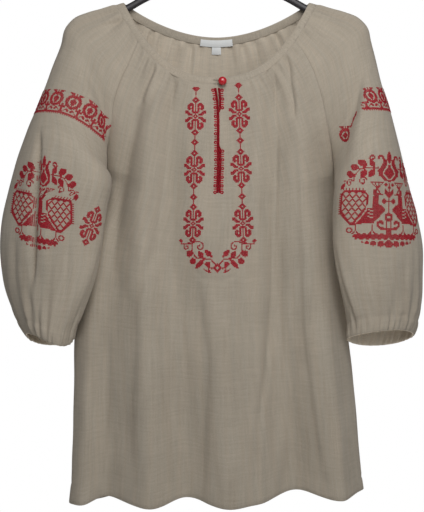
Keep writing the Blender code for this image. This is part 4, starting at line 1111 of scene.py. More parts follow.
def thread(first, last, normal, random, wide, tall, base):
    """Closed spindles of eight vertices: a point at each end and two three-sided sections between. They
    lie at the base height over the given points and rise to the tall height; each has its own shade."""
    along = last - first
    count = len(first)
    side = unit(np.cross(normal, along)) * (wide * random.uniform(0.9, 1.12, (count, 1)))
    top = normal * (base + (tall - base) * random.uniform(0.85, 1.15, (count, 1)))
    low = normal * (base - 0.05)
    parts = [first - 0.02 * along + low]
    for share in (0.24, 0.76):
        centre = first + share * along
        parts += [centre + low - side, centre + low + side, centre + top]
    parts.append(last + 0.02 * along + low)
    return np.stack(parts, axis=1), np.repeat(random.uniform(0.0, 1.0, count), 8)


SPINDLE_ENDS = ((0, 2, 1), (0, 3, 2), (0, 1, 3), (7, 4, 5), (7, 5, 6), (7, 6, 4))
SPINDLE_SIDES = ((1, 2, 5, 4), (2, 3, 6, 5), (3, 1, 4, 6))


# ---- Shader node groups


def put(tree, kind, inputs=None, out=0, **options):
    """Adds a shader node, sets its options, fills its inputs with values or sockets, and gives an output."""
    node = tree.nodes.new("ShaderNode" + kind)
    for name, value in options.items():
        setattr(node, name, value)
    for name, value in (inputs or {}).items():
        if isinstance(value, bpy.types.NodeSocket):
            tree.links.new(value, node.inputs[name])
        else:
            node.inputs[name].default_value = value
    return node.outputs[out]


def reckon(tree, operation, *values):
    """A Math node of up to three values or sockets."""
    return put(tree, "Math", dict(enumerate(values)), operation=operation)


def tint(tree, kind, factor, first, second):
    """A colour Mix node."""
    inputs = {0: factor, 6: first, 7: second}
    return put(tree, "Mix", inputs, out=2, data_type="RGBA", blend_type=kind)


def cloud(tree, place, scale, detail=2.0, stretch=(1, 1, 1)):
    """Noise about 0.5, in a space that is stretched first."""
    stretched = put(tree, "VectorMath", {0: place, 1: stretch}, operation="MULTIPLY")
    return put(tree, "TexNoise", {"Vector": stretched, "Scale": scale, "Detail": detail})


def spread(tree, value, low, high, new_low, new_high):
    names = ("From Min", "From Max", "To Min", "To Max")
    return put(tree, "MapRange", {"Value": value, **dict(zip(names, (low, high, new_low, new_high)))})


def new_group(name, inputs):
    """An empty node group with these inputs, and the three outputs that a finish reads."""
    group = bpy.data.node_groups.new(name, "ShaderNodeTree")
    for label, default in inputs.items():
        kind = "NodeSocketColor" if isinstance(default, tuple) else "NodeSocketFloat"
        group.interface.new_socket(label, in_out="INPUT", socket_type=kind).default_value = default
    for label, kind in (("Colour", "Color"), ("Roughness", "Float"), ("Height", "Float")):
        group.interface.new_socket(label, in_out="OUTPUT", socket_type="NodeSocket" + kind)
    return group, group.nodes.new("NodeGroupInput").outputs


def give_out(group, **sockets):
    result = group.nodes.new("NodeGroupOutput")
    for name, socket in sockets.items():
        group.links.new(socket, result.inputs[name])
    return group


def wavered(group, pattern, amount, value):
    """The value, moved up and down by a pattern that is about 0.5."""
    return reckon(group, "MULTIPLY_ADD", reckon(group, "SUBTRACT", pattern, 0.5), amount, value)


def weave_group():
    """Plain weave of uneven yarn on the UV map "weave", which is in metres.

    Height: across each yarn the size of a sine, warp and weft in turn by the product of the two sines.
    Colour: the base times long thin streaks down the warp, fainter ones along the weft, flecks, and a slow
    change of tone, with a hue that wanders towards the warm tone.
    """
    colours = {"Colour": (0.4, 0.4, 0.4, 1), "Warm Tone": (1.0, 0.97, 0.95, 1)}
    sizes = {"Yarn Pitch": 0.0006, "Streaks": 1.0, "Roughness": 0.9}
    group, given = new_group("Plain Weave", {**colours, **sizes})
    uv = put(group, "UVMap", uv_map="weave")
    waver = put(group, "TexNoise", {"Vector": uv, "Scale": 55.0, "Detail": 1.0}, out=1)
    bent = put(group, "VectorMath", {0: waver, 1: (0.004, 0.004, 0.0), 2: uv}, operation="MULTIPLY_ADD")
    total = 0.0
    for place, detail, u, v, weight in (
        (bent, 2.0, 430, 26, 0.20),
        (bent, 2.0, 150, 8, 0.20),
        (bent, 2.0, 30, 340, 0.22),
        (uv, 3.0, 1000, 800, 0.60),
        (uv, 2.0, 16, 10, 0.28),
    ):
        total = wavered(group, cloud(group, place, 1.0, detail, (u, v, 1)), weight, total)
    factor = reckon(group, "MULTIPLY_ADD", total, given["Streaks"], 1.0)
    grey = put(group, "CombineColor", {"Red": factor, "Green": factor, "Blue": factor})
    hue = spread(group, cloud(group, uv, 1.0, 2.0, (150, 9, 1)), 0.35, 0.65, 0.0, 1.0)
    toned = tint(group, "MULTIPLY", hue, given["Colour"], given["Warm Tone"])
    colour = tint(group, "MULTIPLY", 1.0, toned, grey)
    slub = cloud(group, uv, 1.0, 2.0, (900, 30, 1))
    yarns = put(group, "VectorMath", {0: uv, 1: given["Yarn Pitch"]}, operation="DIVIDE")
    parts = put(group, "SeparateXYZ", {0: yarns}).node.outputs
    sines = [reckon(group, "SINE", reckon(group, "MULTIPLY", parts[i], math.pi)) for i in (0, 1)]
    over = reckon(group, "MULTIPLY_ADD", reckon(group, "MULTIPLY", *sines), 0.5, 0.5)
    warp = reckon(group, "MULTIPLY", reckon(group, "ABSOLUTE", sines[0]), over)
    under = reckon(group, "SUBTRACT", 1.0, over)
    weft = reckon(group, "MULTIPLY", reckon(group, "ABSOLUTE", sines[1]), under)
    height = reckon(group, "MULTIPLY_ADD", slub, 0.6, reckon(group, "ADD", warp, weft))
    rough = wavered(group, slub, 0.2, given["Roughness"])
    return give_out(group, Colour=colour, Roughness=rough, Height=height)


def yarn_group():
    """Sewing yarn: each thread has its own shade from the attribute "shade", over fine twisted fibres."""
    dyes = {"Light Dye": (0.5, 0.02, 0.03, 1), "Deep Dye": (0.3, 0.01, 0.02, 1)}
    group, given = new_group("Sewing Yarn", {**dyes, "Fibre Size": 0.0002, "Roughness": 0.6})
    place = put(group, "TexCoord", out=3)
    scale = reckon(group, "DIVIDE", 1.0, given["Fibre Size"])
    fibre = put(group, "TexNoise", {"Vector": place, "Scale": scale})
    shade = put(group, "Attribute", out=2, attribute_name="shade")
    colour = tint(group, "MIX", wavered(group, fibre, 0.9, shade), given["Light Dye"], given["Deep Dye"])
    rough = wavered(group, fibre, 0.25, given["Roughness"])
    return give_out(group, Colour=colour, Roughness=rough, Height=fibre)


def handled_group():
    """Hard surface that has been handled: a soft mottle, hairline scratches and a fine grain."""
    colours = {"Colour": (0.1, 0.1, 0.1, 1), "Worn Colour": (0.3, 0.3, 0.3, 1)}
    sizes = {"Wear": 0.2, "Roughness": 0.4, "Grain Size": 0.001}
    group, given = new_group("Handled Surface", {**colours, **sizes})
    place = put(group, "TexCoord", out=3)
    scale = reckon(group, "DIVIDE", 1.0, given["Grain Size"])
    grain = put(group, "TexNoise", {"Vector": place, "Scale": scale, "Detail": 4.0})
    scratch = cloud(group, place, 60.0, 2.0, (1, 9, 14))
    worn = spread(group, scratch, 0.58, 0.72, 0.0, 1.0)
    mottle = cloud(group, place, 45.0, 3.0)
    share = reckon(group, "MULTIPLY", reckon(group, "MULTIPLY_ADD", mottle, 0.5, worn), given["Wear"])
    colour = tint(group, "MIX", share, given["Colour"], given["Worn Colour"])
    rough = reckon(group, "ADD", given["Roughness"], reckon(group, "MULTIPLY", share, 0.5))
    height = reckon(group, "MULTIPLY_ADD", worn, -0.6, grain)
    return give_out(group, Colour=colour, Roughness=rough, Height=height)


# ---- Finishes


GROUPS = {"Plain Weave": weave_group, "Sewing Yarn": yarn_group, "Handled Surface": handled_group}


def finish(name, group_name, bump, values, **constants):
    """A material that takes its colour, roughness and height from a node group with these values; constants
    are set on the shader's own sockets, and bump is the height of the relief in metres."""
    made = bpy.data.materials.get(name)
    if made:
        return made
    made = bpy.data.materials.new(name)
    made.use_nodes = True
    tree = made.node_tree
    shader = tree.nodes["Principled BSDF"]
    pattern = tree.nodes.new("ShaderNodeGroup")
    pattern.node_tree = bpy.data.node_groups.get(group_name) or GROUPS[group_name]()
    for socket, value in values.items():
        pattern.inputs[socket].default_value = (*value[:3], 1.0) if np.ndim(value) else value
    relief = put(tree, "Bump", {"Height": pattern.outputs["Height"], "Strength": 1.0, "Distance": bump})
    tree.links.new(pattern.outputs["Colour"], shader.inputs["Base Color"])
    tree.links.new(pattern.outputs["Roughness"], shader.inputs["Roughness"])
    tree.links.new(relief, shader.inputs["Normal"])
    for socket, value in constants.items():
        shader.inputs[socket].default_value = value
    return made


# painted_light_lift scales the linen colour up; above 1 it is painted light for faces that the lamps leave in
# shade
def linen(name="undyed_linen", painted_light_lift=1.0):
    look = bpy.context.scene.blouse_cloth
    colours = {"Colour": [painted_light_lift * c for c in look.linen_colour], "Warm Tone": look.warm_tone}
    values = {**colours, "Yarn Pitch": look.yarn_pitch, "Streaks": look.streaks, "Roughness": 0.88}
    soft = {"Specular IOR Level": 0.25, "Sheen Weight": 0.12, "Sheen Roughness": 0.6}
    return finish(name, "Plain Weave", 0.00008, values, **soft)


def linen_inside_painted_light(shaded=False):
    """The inner face is paler: painted light that lifts the inside, which the lamps leave in shade; in the
    sleeves it is the palest.
    """
    paler = bpy.context.scene.blouse_cloth.inside
    return linen("undyed_linen_sleeve_inside_painted_light", paler * 1.4) if shaded else linen("undyed_linen_inside_painted_light", paler)


def yarn(name, bump, light, deep, fibre, roughness, specular):
    values = {"Light Dye": light, "Deep Dye": deep, "Fibre Size": fibre, "Roughness": roughness}
    return finish(name, "Sewing Yarn", bump, values, **{"Specular IOR Level": specular})


def red_yarn():
    look = bpy.context.scene.blouse_embroidery
    return yarn("embroidery_yarn", 0.00005, look.yarn_colour, look.deep_colour, 0.00025, 0.6, 0.35)


def linen_thread():
    colour = np.array(bpy.context.scene.blouse_cloth.linen_colour, float)
    return yarn("linen_thread", 0.00003, 1.08 * colour, 0.85 * colour, 0.0002, 0.8, 0.3)


def label_tape():
    colours = {"Colour": bpy.context.scene.blouse_trims.label_colour, "Warm Tone": (0.98, 0.99, 1.0)}
    values = {**colours, "Yarn Pitch": 0.0003, "Streaks": 0.25, "Roughness": 0.55}
    return finish("woven_label", "Plain Weave", 0.00004, values, **{"Sheen Weight": 0.1})


def handled(name, bump, colour, worn, wear, roughness, grain, **constants):
    values = {"Colour": colour, "Worn Colour": worn, "Wear": wear, "Roughness": roughness}
    return finish(name, "Handled Surface", bump, {**values, "Grain Size": grain}, **constants)


def glossy_red():
    colour, coat = bpy.context.scene.blouse_trims.button_colour, {"Coat Weight": 0.6, "Coat Roughness": 0.06}
    return handled("glossy_red_lacquer", 0.00001, colour, (0.6, 0.1, 0.1), 0.12, 0.16, 0.002, **coat)


def dark_plastic():
    colour = bpy.context.scene.blouse_trims.hanger_colour
    return handled("moulded_plastic", 0.00004, colour, (0.10, 0.09, 0.10), 0.3, 0.36, 0.0006)


def hook_steel():
    bright, dull = (0.62, 0.62, 0.64), (0.36, 0.35, 0.34)
    return handled("bright_wire", 0.00001, bright, dull, 0.35, 0.22, 0.0005, Metallic=1.0)


# ---- Meshes


def to_place(points):
    """Millimetres with heights from the shoulder tops to metres in the frame."""
    placed = np.asarray(points, float).reshape(-1, 3) * MM
    placed[:, 2] -= NECK_TIP_BELOW_HOOK * MM
    return placed


def add_object(name, data):
    made = bpy.data.objects.new(name, data)
    bpy.context.scene.collection.objects.link(made)
    return made


def new_piece(name, points, faces, material, slot, replaced=(), uv=None, shade=None, crease_angle=60.0):
    """A mesh object in the frame, with its finish and the nodes it stands for; its slot is not used.

    uv is a pair of values for each vertex, in metres, for the map "weave".
    """
    mesh = bpy.data.meshes.new(name)
    mesh.from_pydata(to_place(points).tolist(), [], [tuple(face) for face in faces])
    mesh.update()
    if uv is not None:
        corners = np.empty(len(mesh.loops), np.int32)
        mesh.loops.foreach_get("vertex_index", corners)
        weave = mesh.uv_layers.new(name="weave")
        weave.data.foreach_set("uv", np.asarray(uv)[corners].astype(np.float32).ravel())
    if shade is not None:
        shades = mesh.attributes.new("shade", "FLOAT", "POINT")
        shades.data.foreach_set("value", np.asarray(shade, np.float32))
    mesh.materials.append(material)
    mesh.shade_smooth()
    mesh.set_sharp_from_angle(angle=math.radians(crease_angle))
    piece = add_object(name, mesh)
    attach(piece, BODY)
    if replaced:
        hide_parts(*replaced)
    return piece


def quads(index):
    """The four corners of each cell, for a grid of vertex numbers."""
    return [index[:-1, :-1], index[:-1, 1:], index[1:, 1:], index[1:, :-1]]


def grid_faces(rows, columns, closed=False):
    """Quads between neighbouring rows and columns of a grid, numbered row by row."""
    index = np.arange(rows * columns).reshape(rows, columns)
    if closed:
        index = np.concatenate([index, index[:, :1]], axis=1)
    return np.stack([part.ravel() for part in quads(index)], axis=1)


def give_thickness(piece, thickness, inner_slot=0):
    """The face on the inner side takes the material that many slots on."""
    solid = piece.modifiers.new("Thickness", "SOLIDIFY")
    solid.thickness, solid.offset, solid.material_offset = thickness, 0.0, inner_slot
    return piece


def tube_piece(name, rings, material, slot, replaced=(), **more):
    """Skin of rings that all have the same count of points, closed by a face at each end."""
    rows, columns = rings.shape[:2]
    faces = grid_faces(rows, columns, closed=True).tolist()
    faces += [list(range(columns - 1, -1, -1)), list(range((rows - 1) * columns, rows * columns))]
    return new_piece(name, rings, faces, material, slot, replaced, **more)


def joined_threads(name, bundles, material, slot, replaced=()):
    """One piece from bundles of spindles, each bundle with its vertices and shades."""
    vertices = np.concatenate([bundle[0].reshape(-1, 3) for bundle in bundles])
    shade = np.concatenate([bundle[1] for bundle in bundles])
    start = np.arange(0, len(vertices), 8)
    faces = []
    for pattern in (SPINDLE_ENDS, SPINDLE_SIDES):
        faces += (start[:, None, None] + np.array(pattern)).reshape(-1, len(pattern[0])).tolist()
    return new_piece(name, vertices, faces, material, slot, replaced, shade=shade, crease_angle=80.0)


# ---- Cloth pieces of the blouse


def neck_arc(first, last):
    return arc_length(band_line(np.linspace(first, last, 200), np.full(200, BAND_WIDTH)))[-1]


NECK_ARC = {
    "front": neck_arc(-FRONT_SEAM_ANGLE, FRONT_SEAM_ANGLE),
    "back": neck_arc(BACK_SEAM_ANGLE, CIRCLE - BACK_SEAM_ANGLE),
    "sleeve": neck_arc(FRONT_SEAM_ANGLE, BACK_SEAM_ANGLE),
}
FRONT_GATHERS = gathers(5, NECK_ARC["front"], 8.0, bare=44.0, height=2.3, reach=52.0)
BACK_GATHERS = gathers(6, NECK_ARC["back"], 9.0, height=1.9, reach=70.0)
SLEEVE_GATHERS = {
    side: gathers(8 + side, NECK_ARC["sleeve"], 8.0, height=2.4, reach=50.0) for side in (LEFT, RIGHT)
}


def panel_cloth(surface, arc, pleats, creases, strength, seed, size, outward):
    relief = partial(panel_relief, surface, arc, pleats, creases, strength, (None, seed, size, 60.0))
    return Cloth(surface, relief, outward, 520.0)


FRONT = panel_cloth(front_surface, NECK_ARC["front"], FRONT_GATHERS, FRONT_CREASES, 1.45, 11, 0.8, 1)
BACK = panel_cloth(back_surface, NECK_ARC["back"], BACK_GATHERS, BACK_CREASES, 1.3, 12, 0.9, -1)
SLEEVE = {
    side: Cloth(partial(sleeve_surface, side), partial(sleeve_relief, side), side, 420.0)
    for side in (LEFT, RIGHT)
}


def cloth_rows(lower_rows):
    return np.concatenate([np.linspace(0, 1, UPPER_ROWS + 1), np.linspace(1, 2, lower_rows + 1)[1:]])


def turned_edge(cloth, s, t, points, fold_line, depth):
    """Rows of the hem or casing inside: round the edge, then up behind the cloth to its stitch line."""
    rows = np.linspace(2.0, fold_line, 8)[:, None]
    inside = cloth.at(s[None, :], rows, -depth)
    down = unit(points[-1] - points[-2])
    turn = (points[-1] + inside[0]) / 2 + down * depth / 2
    return np.concatenate([points, turn[None], inside]), np.concatenate([t, [2.0], 4.0 - rows[:, 0]])


def weave_map(cloth, s, t):
    """UV in metres: across by the share of the cut width, down by the length of the middle column."""
    middle = np.clip(np.where(t > 2, 4.0 - t, t), 0, 2)
    line = cloth.surface(np.full(400, 0.5), np.linspace(0, 2, 400))
    down = np.interp(middle, np.linspace(0, 2, 400), arc_length(line))
    down = np.where(t > 2, 2 * down.max() - down, down)
    u, v = np.meshgrid(s * cloth.width, down)
    return np.stack([u, -v], axis=-1).reshape(-1, 2) * MM


def cloth_piece(node, cloth, columns, lower_rows, fold_line, slit=False, joined=False):
    """One piece of the blouse: its grid with the turned-up edge, a cut for the neck slit in the front, and
    the sleeve's own seam closed below the underarm."""
    s, t = np.linspace(0, 1, columns + 1), cloth_rows(lower_rows)
    if slit:
        s = np.insert(s, columns // 2, 0.5)
    points = cloth.at(s[None, :], t[:, None])
    middle, above = columns // 2, t < 1.0
    if slit:
        half = SLIT_HALF_GAP + (SLIT_TOP_HALF_GAP - SLIT_HALF_GAP) * (1 - smooth(t / 0.25))
        points[above, middle, 0] -= half[above]
        points[above, middle + 1, 0] += half[above]
    points, t = turned_edge(cloth, s, t, points, fold_line, 1.3)
    index = np.arange(points[..., 0].size).reshape(points.shape[:2])
    if slit:
        index[int(above.sum()):, middle + 1] = index[int(above.sum()):, middle]
    if joined:
        index[UPPER_ROWS:, -1] = index[UPPER_ROWS:, 0]
    quad = quads(index)
    if slit:
        quad = [np.delete(part, middle, axis=1) for part in quad]
    if cloth.outward > 0:
        quad.reverse()
    faces = np.stack([part.ravel() for part in quad], axis=1)
    uv = weave_map(cloth, s, t)
    used = np.unique(faces)
    place = np.zeros(index.size, int)
    place[used] = np.arange(used.size)
    points = points.reshape(-1, 3)[used]
    piece = new_piece("linen_" + node, points, place[faces].tolist(), linen(), "linen", (node,), uv=uv[used])
    # The inner face takes the paler linen: painted light for the inside, which the lamps leave in shade.
    piece.data.materials.append(linen_inside_painted_light())
    if joined:  # slots 2 and 3 are for the cuff, whose inner face and turned-up edge take the palest linen: painted light for the shaded inside of the cuff
        piece.data.materials.append(linen())
        piece.data.materials.append(linen_inside_painted_light(shaded=True))
        row = np.repeat(np.arange(len(t) - 1), quad[0].shape[1])
        slots = np.where(row >= len(cloth_rows(lower_rows)) - 1, 3, np.where(t[row] > 1.8, 2, 0))
        piece.data.polygons.foreach_set("material_index", slots.astype(np.int32))
    return give_thickness(piece, CLOTH_THICKNESS * MM, inner_slot=1)


def band_frame(angle):
    """Outward unit normal of the neck band's middle surface, by differences along and down it."""
    step = 1e-3
    down = np.full(np.shape(angle), BAND_WIDTH / 2)
    along = band_line(angle + step, down) - band_line(angle - step, down)
    return unit(-np.cross(along, neck_outward(angle)))


def band_skin(angle, turn):
    """The folded band: a rounded flat loop across, puckered by the gathers along its lower edge and sunk
    along its two lines of stitches."""
    random = np.random.default_rng(31)
    across = flattened(np.cos(turn), BAND_SQUARENESS)
    proud = flattened(np.sin(turn), 0.6)
    down = BAND_WIDTH / 2 * (1 + across)
    arc = NECK_HALF_WIDTH * angle
    pucker = 0
    for size, length in ((0.16, 5.2), (0.14, 7.9), (0.2, 13.0), (0.25, 31.0)):
        start = arc / length * CIRCLE + random.uniform(0, 6.3)
        pucker = pucker + size * np.sin(start + 1.5 * np.sin(arc / random.uniform(25, 60)))
    lower = smooth((down - 3.0) / 7.0)
    seams = bell((down - BAND_STITCH) / 0.7) + 0.5 * bell((down - BAND_EDGE_STITCH) / 0.7)
    half = BAND_THICKNESS / 2 + 0.42 * pucker - 0.35 * seams
    sway = 0.8 * pucker * lower
    middle = band_line(angle, down + 0.25 * pucker * lower)
    return middle + (half * proud + sway)[..., None] * band_frame(angle)


def stitch_line(points, normals, pitch=3.2, share=0.7, wide=0.24, tall=0.22, seed=41):
    """Running stitches along a line of points: one spindle for each stretch of pitch."""
    random = np.random.default_rng(seed)
    length = arc_length(points)
    first = np.arange(0.5, length[-1] - pitch, pitch)
    start, end = (read_along(points, length, at) for at in (first, first + share * pitch))
    return thread(start, end, unit(read_along(normals, length, first)), random, wide, tall, base=0.0)


def row_line(cloth, t, s_from=0.004, s_to=0.996):
    """A line along a row of a piece of cloth, on its outer face."""
    s = np.linspace(s_from, s_to, 500)
    t = np.full_like(s, t)
    return cloth.at(s, t, CLOTH_THICKNESS / 2), cloth.normal(s, t)


def band_corner(angle, down):
    """A line on the band's outer face at this distance below its upper edge."""
    turn = np.arccos(flattened(2 * down / BAND_WIDTH - 1, 1 / BAND_SQUARENESS))
    return band_skin(angle, np.full_like(angle, turn)), band_frame(angle)


# ---- Embroidery pieces


def arm_band(cloth, side, first, last, shift):
    """Cells and corners of the band round the sleeve: its foot follows a line of nearly constant t, and
    its columns leave that line squarely towards the neck."""
    s = np.linspace(0, 1, 1200)
    ring_points = cloth.surface(s, np.interp(s, *ARM_BAND_ROW[side]))
    arc = arc_length(ring_points)
    start, end = np.interp([first, last], s, arc)
    across = np.interp(np.arange(start, end, CELL), arc, s)
    repeat = arm_band_repeat()

    def upwards(along_s, along_t, normal):
        way = np.cross(along_s, normal)
        return way * np.sign(-(way * along_t).sum(-1, keepdims=True))

    foot = across, np.interp(across, *ARM_BAND_ROW[side])
    track = both_ways(cloth, *foot, upwards, -repeat.low, repeat.high + 1, CELL)
    column = (np.arange(len(across) - 1) + shift) % (2 * repeat.half + 1)
    return repeat.cells[:, column], track


def sew(name, cloth, charts, seed):
    """One piece of cross stitches, from charts that are given as cells and the corners of the cells."""
    random = np.random.default_rng(seed)
    bundles = []
    for cells, corners in charts:
        bundles += cross_stitches(cloth, cells, corners, random)
    joined_threads(name, bundles, red_yarn(), "red_cord")


def slit_place(out, height):
    """Points on the front's face beside the slit: this far out from its middle, at this height."""
    line = np.linspace(1.1, 0.0, 120)
    x_line, z_line = seen(front_surface(np.full(120, 0.5), line))
    middle = np.interp(height, z_line, x_line)
    guess = np.full(np.shape(height), 0.5), np.interp(-height, (120.0, 276.0), (0.0, 1.0))
    s, t = FRONT.find(middle + out, height, *guess)
    return FRONT.at(s, t, CLOTH_THICKNESS / 2), FRONT.normal(s, t)


def slit_bars(side, heights, inner, outer, random, wide, tall):
    ends = [slit_place(side * np.broadcast_to(reach, heights.shape), heights) for reach in (inner, outer)]
    return thread(ends[0][0], ends[1][0], ends[0][1], random, wide, tall, base=0.0)


def slit_gap(heights):
    """Half the gap between the edges, which shut some way below the band."""
    return 1.1 * np.clip(1.0 - (SLIT_TOP - heights) / 31.0, 0.0, 1.0)


def slit_rings(side, heights, reach, random):
    """Buttonhole rings: fourteen short threads that stand out from a small eye, like spokes."""
    turn = spokes(14)
    ends = []
    for radius in (0.55, 2.9):
        out = side * reach[:, None] + radius * np.cos(turn)
        up = heights[:, None] + radius * np.sin(turn)
        ends.append([grid.reshape(-1, 3) for grid in slit_place(out, up)])
    return thread(ends[0][0], ends[1][0], ends[0][1], random, 0.66, 0.75, base=0.0)


# ---- Hard pieces


def rings_round(path, radius, flat_axis, sides):
    """Circles round a path that lies in a plane; flat_axis is the direction across that plane."""
    tangent = unit(np.gradient(path, axis=0))
    across = np.broadcast_to(np.asarray(flat_axis, float), path.shape)
    up = np.cross(tangent, across)
    turn = spokes(sides)[None, :, None]
    radius = np.reshape(radius, (-1, 1, 1)) if np.ndim(radius) < 2 else radius[..., None]
    return path[:, None] + radius * (np.cos(turn) * across[:, None] + np.sin(turn) * up[:, None])


def even_path(points, count):
    """The same path with its points evenly spaced."""
    length = arc_length(points)
    return read_along(points, length, np.linspace(0, length[-1], count))


def hanger_rings():
    """Oval sections along x that swell into the hub; the ends are round."""
    reach = HANGER_BAR.data[-1, 0] + BAR_END
    turn_x = math.radians(84)
    x = (reach - 0.02) * np.sin(np.linspace(-1, 1, BAR_SAMPLES + 1) * turn_x) / math.sin(turn_x)
    size = np.abs(x)
    beyond = np.clip((size - (reach - BAR_END)) / BAR_END, 0.0, 1.0)
    taper = np.sqrt(np.maximum(1 - beyond**2, 0.0))
    height = HANGER_BAR("height", size) - 0.6 * np.maximum(size - (reach - BAR_END), 0)
    turn = spokes(BAR_SIDES)
    y = (HANGER_BAR("half_thick", size) * taper)[:, None] * flattened(np.cos(turn), 0.8)
    z = height[:, None] + (HANGER_BAR("half_height", size) * taper)[:, None] * flattened(np.sin(turn), 0.8)
    return stack(x[:, None], y, np.minimum(z, HUB_TOP))


def hook_path():
    """Up from the hub, out to the side in one easy bend, and over the rod in a round arc."""
    centre = np.array([0.0, 0.0, NECK_TIP_BELOW_HOOK - HOOK_RADIUS])
    angle = np.linspace(HOOK_START_ANGLE, HOOK_END_ANGLE, 90)
    arc = centre + (HOOK_RADIUS + WIRE_RADIUS) * stack(np.cos(angle), 0.0, np.sin(angle))
    base = np.array([0.0, 0.0, HUB_TOP - 2.0])
    shoulder = np.array([0.0, 0.0, HUB_TOP + COLLAR_HEIGHT + 1.0])
    u = np.linspace(0, 1, 24)[1:-1, None]
    leave = shoulder + (0.0, 0.0, 7.0)
    arrive = arc[0] + 7.0 * np.array([math.sin(HOOK_START_ANGLE), 0.0, -math.cos(HOOK_START_ANGLE)])
    bend = (1 - u) ** 3 * shoulder + 3 * u * (1 - u) ** 2 * leave
    bend = bend + 3 * u**2 * (1 - u) * arrive + u**3 * arc[0]
    stem = base + np.linspace(0, 1, 8)[:, None] * (shoulder - base)
    return even_path(np.concatenate([stem, bend, arc]), 150)


def band_face(x, height):
    """How far forward the band's outer face is at the middle of the front."""
    angle = math.asin(x / NECK_HALF_WIDTH)
    return float(band_line(angle, max(-FRONT_DROP - height, 0.0))[..., 1].squeeze()) - BAND_WALL / 2


def button_rings():
    """A ball on a short shank, turned round an axis that points forwards."""
    face = band_face(BUTTON_X, BUTTON_HEIGHT) - BAND_CLEARANCE
    centre = SHANK_LENGTH + BUTTON_HALF_DEPTH
    polar = np.linspace(math.radians(167), math.radians(2), 34)
    ahead = np.concatenate([[0.0, SHANK_LENGTH * 0.5], centre + BUTTON_HALF_DEPTH * np.cos(polar)])
    ball = BUTTON_RADIUS * np.sin(polar) ** 0.92
    radius = np.concatenate([[SHANK_RADIUS, SHANK_RADIUS], ball])
    path = stack(BUTTON_X, face - ahead, BUTTON_HEIGHT)
    turn = spokes(48)
    return path[:, None] + radius[:, None, None] * stack(np.cos(turn), 0.0, np.sin(turn))[None]


def loop_rings():
    """A cord of two twisted plies, from the band's left end round the shank and back."""
    half_turn = np.linspace(-math.pi / 2, math.pi / 2, 24)
    reach = SHANK_RADIUS + LOOP_RADIUS + 0.4
    face = band_face(0.0, BUTTON_HEIGHT) - BAND_CLEARANCE - LOOP_RADIUS
    x = np.concatenate([[LOOP_START, 1.5], BUTTON_X + reach * np.cos(half_turn), [1.5, LOOP_START]])
    z = np.concatenate([[-3.0, -2.6], reach * np.sin(half_turn), [2.6, 3.0]]) + BUTTON_HEIGHT
    path = even_path(stack(x, face, z), 120)
    turn = spokes(14)[None, :]
    twist = arc_length(path)[:, None] * CIRCLE / 3.4
    return rings_round(path, LOOP_RADIUS * (0.86 + 0.16 * np.cos(2 * (turn - twist))), (0, 1, 0), 14)


def label_grid(width, top, bottom):
    """A blank tape inside the back of the neck: the band's own lines moved inwards, with a slight bow."""
    half = math.asin(width / 2 / NECK_HALF_WIDTH)
    across, down = np.linspace(-1, 1, 61)[None, :], np.linspace(0, 1, 25)[:, None]
    angle = math.pi - half * across
    depth = top + (bottom - top) * down
    inward = -band_frame(angle)
    bow = 0.5 * np.sin(math.pi * down) + 0.35 * np.sin(2.2 * across + 0.6) * down
    points = band_line(angle + 0 * down, depth + 0 * across)
    points = points + (BAND_WALL / 2 + LABEL_CLEARANCE + bow)[..., None] * inward
    uv = stack(across * width / 2, depth).reshape(-1, 2) * MM
    return points, uv


# ---- Settings


def colour_field(name, description, default):
    options = {"name": name, "description": description, "default": default}
    return FloatVectorProperty(**options, subtype="COLOR", min=0, max=1)


def size_field(name, description, default, **more):
    return FloatProperty(name=name, description=description, default=default, **more)


class BlouseCloth(PropertyGroup):
    linen_colour: colour_field("Linen", "Undyed linen, lit evenly", (0.440, 0.387, 0.312))
    warm_tone: colour_field("Warm Yarn", "What the warmer yarns multiply the colour by", (1.0, 0.975, 0.955))
    # Inner Face makes the inner face paler: painted light for the inside, which the lamps leave in shade.
    inside: size_field("Inner Face", "How much paler the inner face is", 1.35, min=1, max=2)
    streaks: size_field("Streaks", "Strength of the uneven yarns", 1.0, min=0, max=3)
    yarn_pitch: size_field("Yarn Pitch", "Distance from yarn to yarn", 0.0006, unit="LENGTH", precision=5)


class BlouseEmbroidery(PropertyGroup):
    yarn_colour: colour_field("Yarn", "Red cross-stitch yarn", (0.46, 0.016, 0.030))
    deep_colour: colour_field("Deep Yarn", "Darker threads of the same yarn", (0.25, 0.008, 0.016))


class BlouseTrims(PropertyGroup):
    button_colour: colour_field("Button", "Glossy ball button", (0.50, 0.004, 0.012))
    label_colour: colour_field("Label", "Blank woven labels", (0.80, 0.81, 0.80))
    hanger_colour: colour_field("Hanger", "Moulded hanger", (0.020, 0.017, 0.020))


class BlouseStudio(PropertyGroup):
    eye: FloatVectorProperty(
        name="Camera", description="Place", default=(-0.0065, -1.90, -0.4879), subtype="XYZ", unit="LENGTH"
    )
    lens: size_field("Lens", "Focal length", 92.0, unit="CAMERA")
    key_power: size_field("Key Light", "Large soft light over the camera", 11.9, unit="POWER")
    back_power: size_field("Back Light", "Soft light from behind", 9.0, unit="POWER")
    fill_power: size_field("Fill Light", "Soft light from the right", 1.6, unit="POWER")
    room_light: size_field("Room Light", "Even light from all round", 0.19, min=0, max=2)
    floor_height: size_field("Floor", "Height of the floor", -1.25, unit="LENGTH")


SETTINGS = {
    "blouse_cloth": BlouseCloth,
    "blouse_embroidery": BlouseEmbroidery,
    "blouse_trims": BlouseTrims,
    "blouse_studio": BlouseStudio,
}


# ---- Operators


class BlousePiece:
    """What the operators share: they add pieces and can be undone."""

    bl_options = {"REGISTER", "UNDO"}


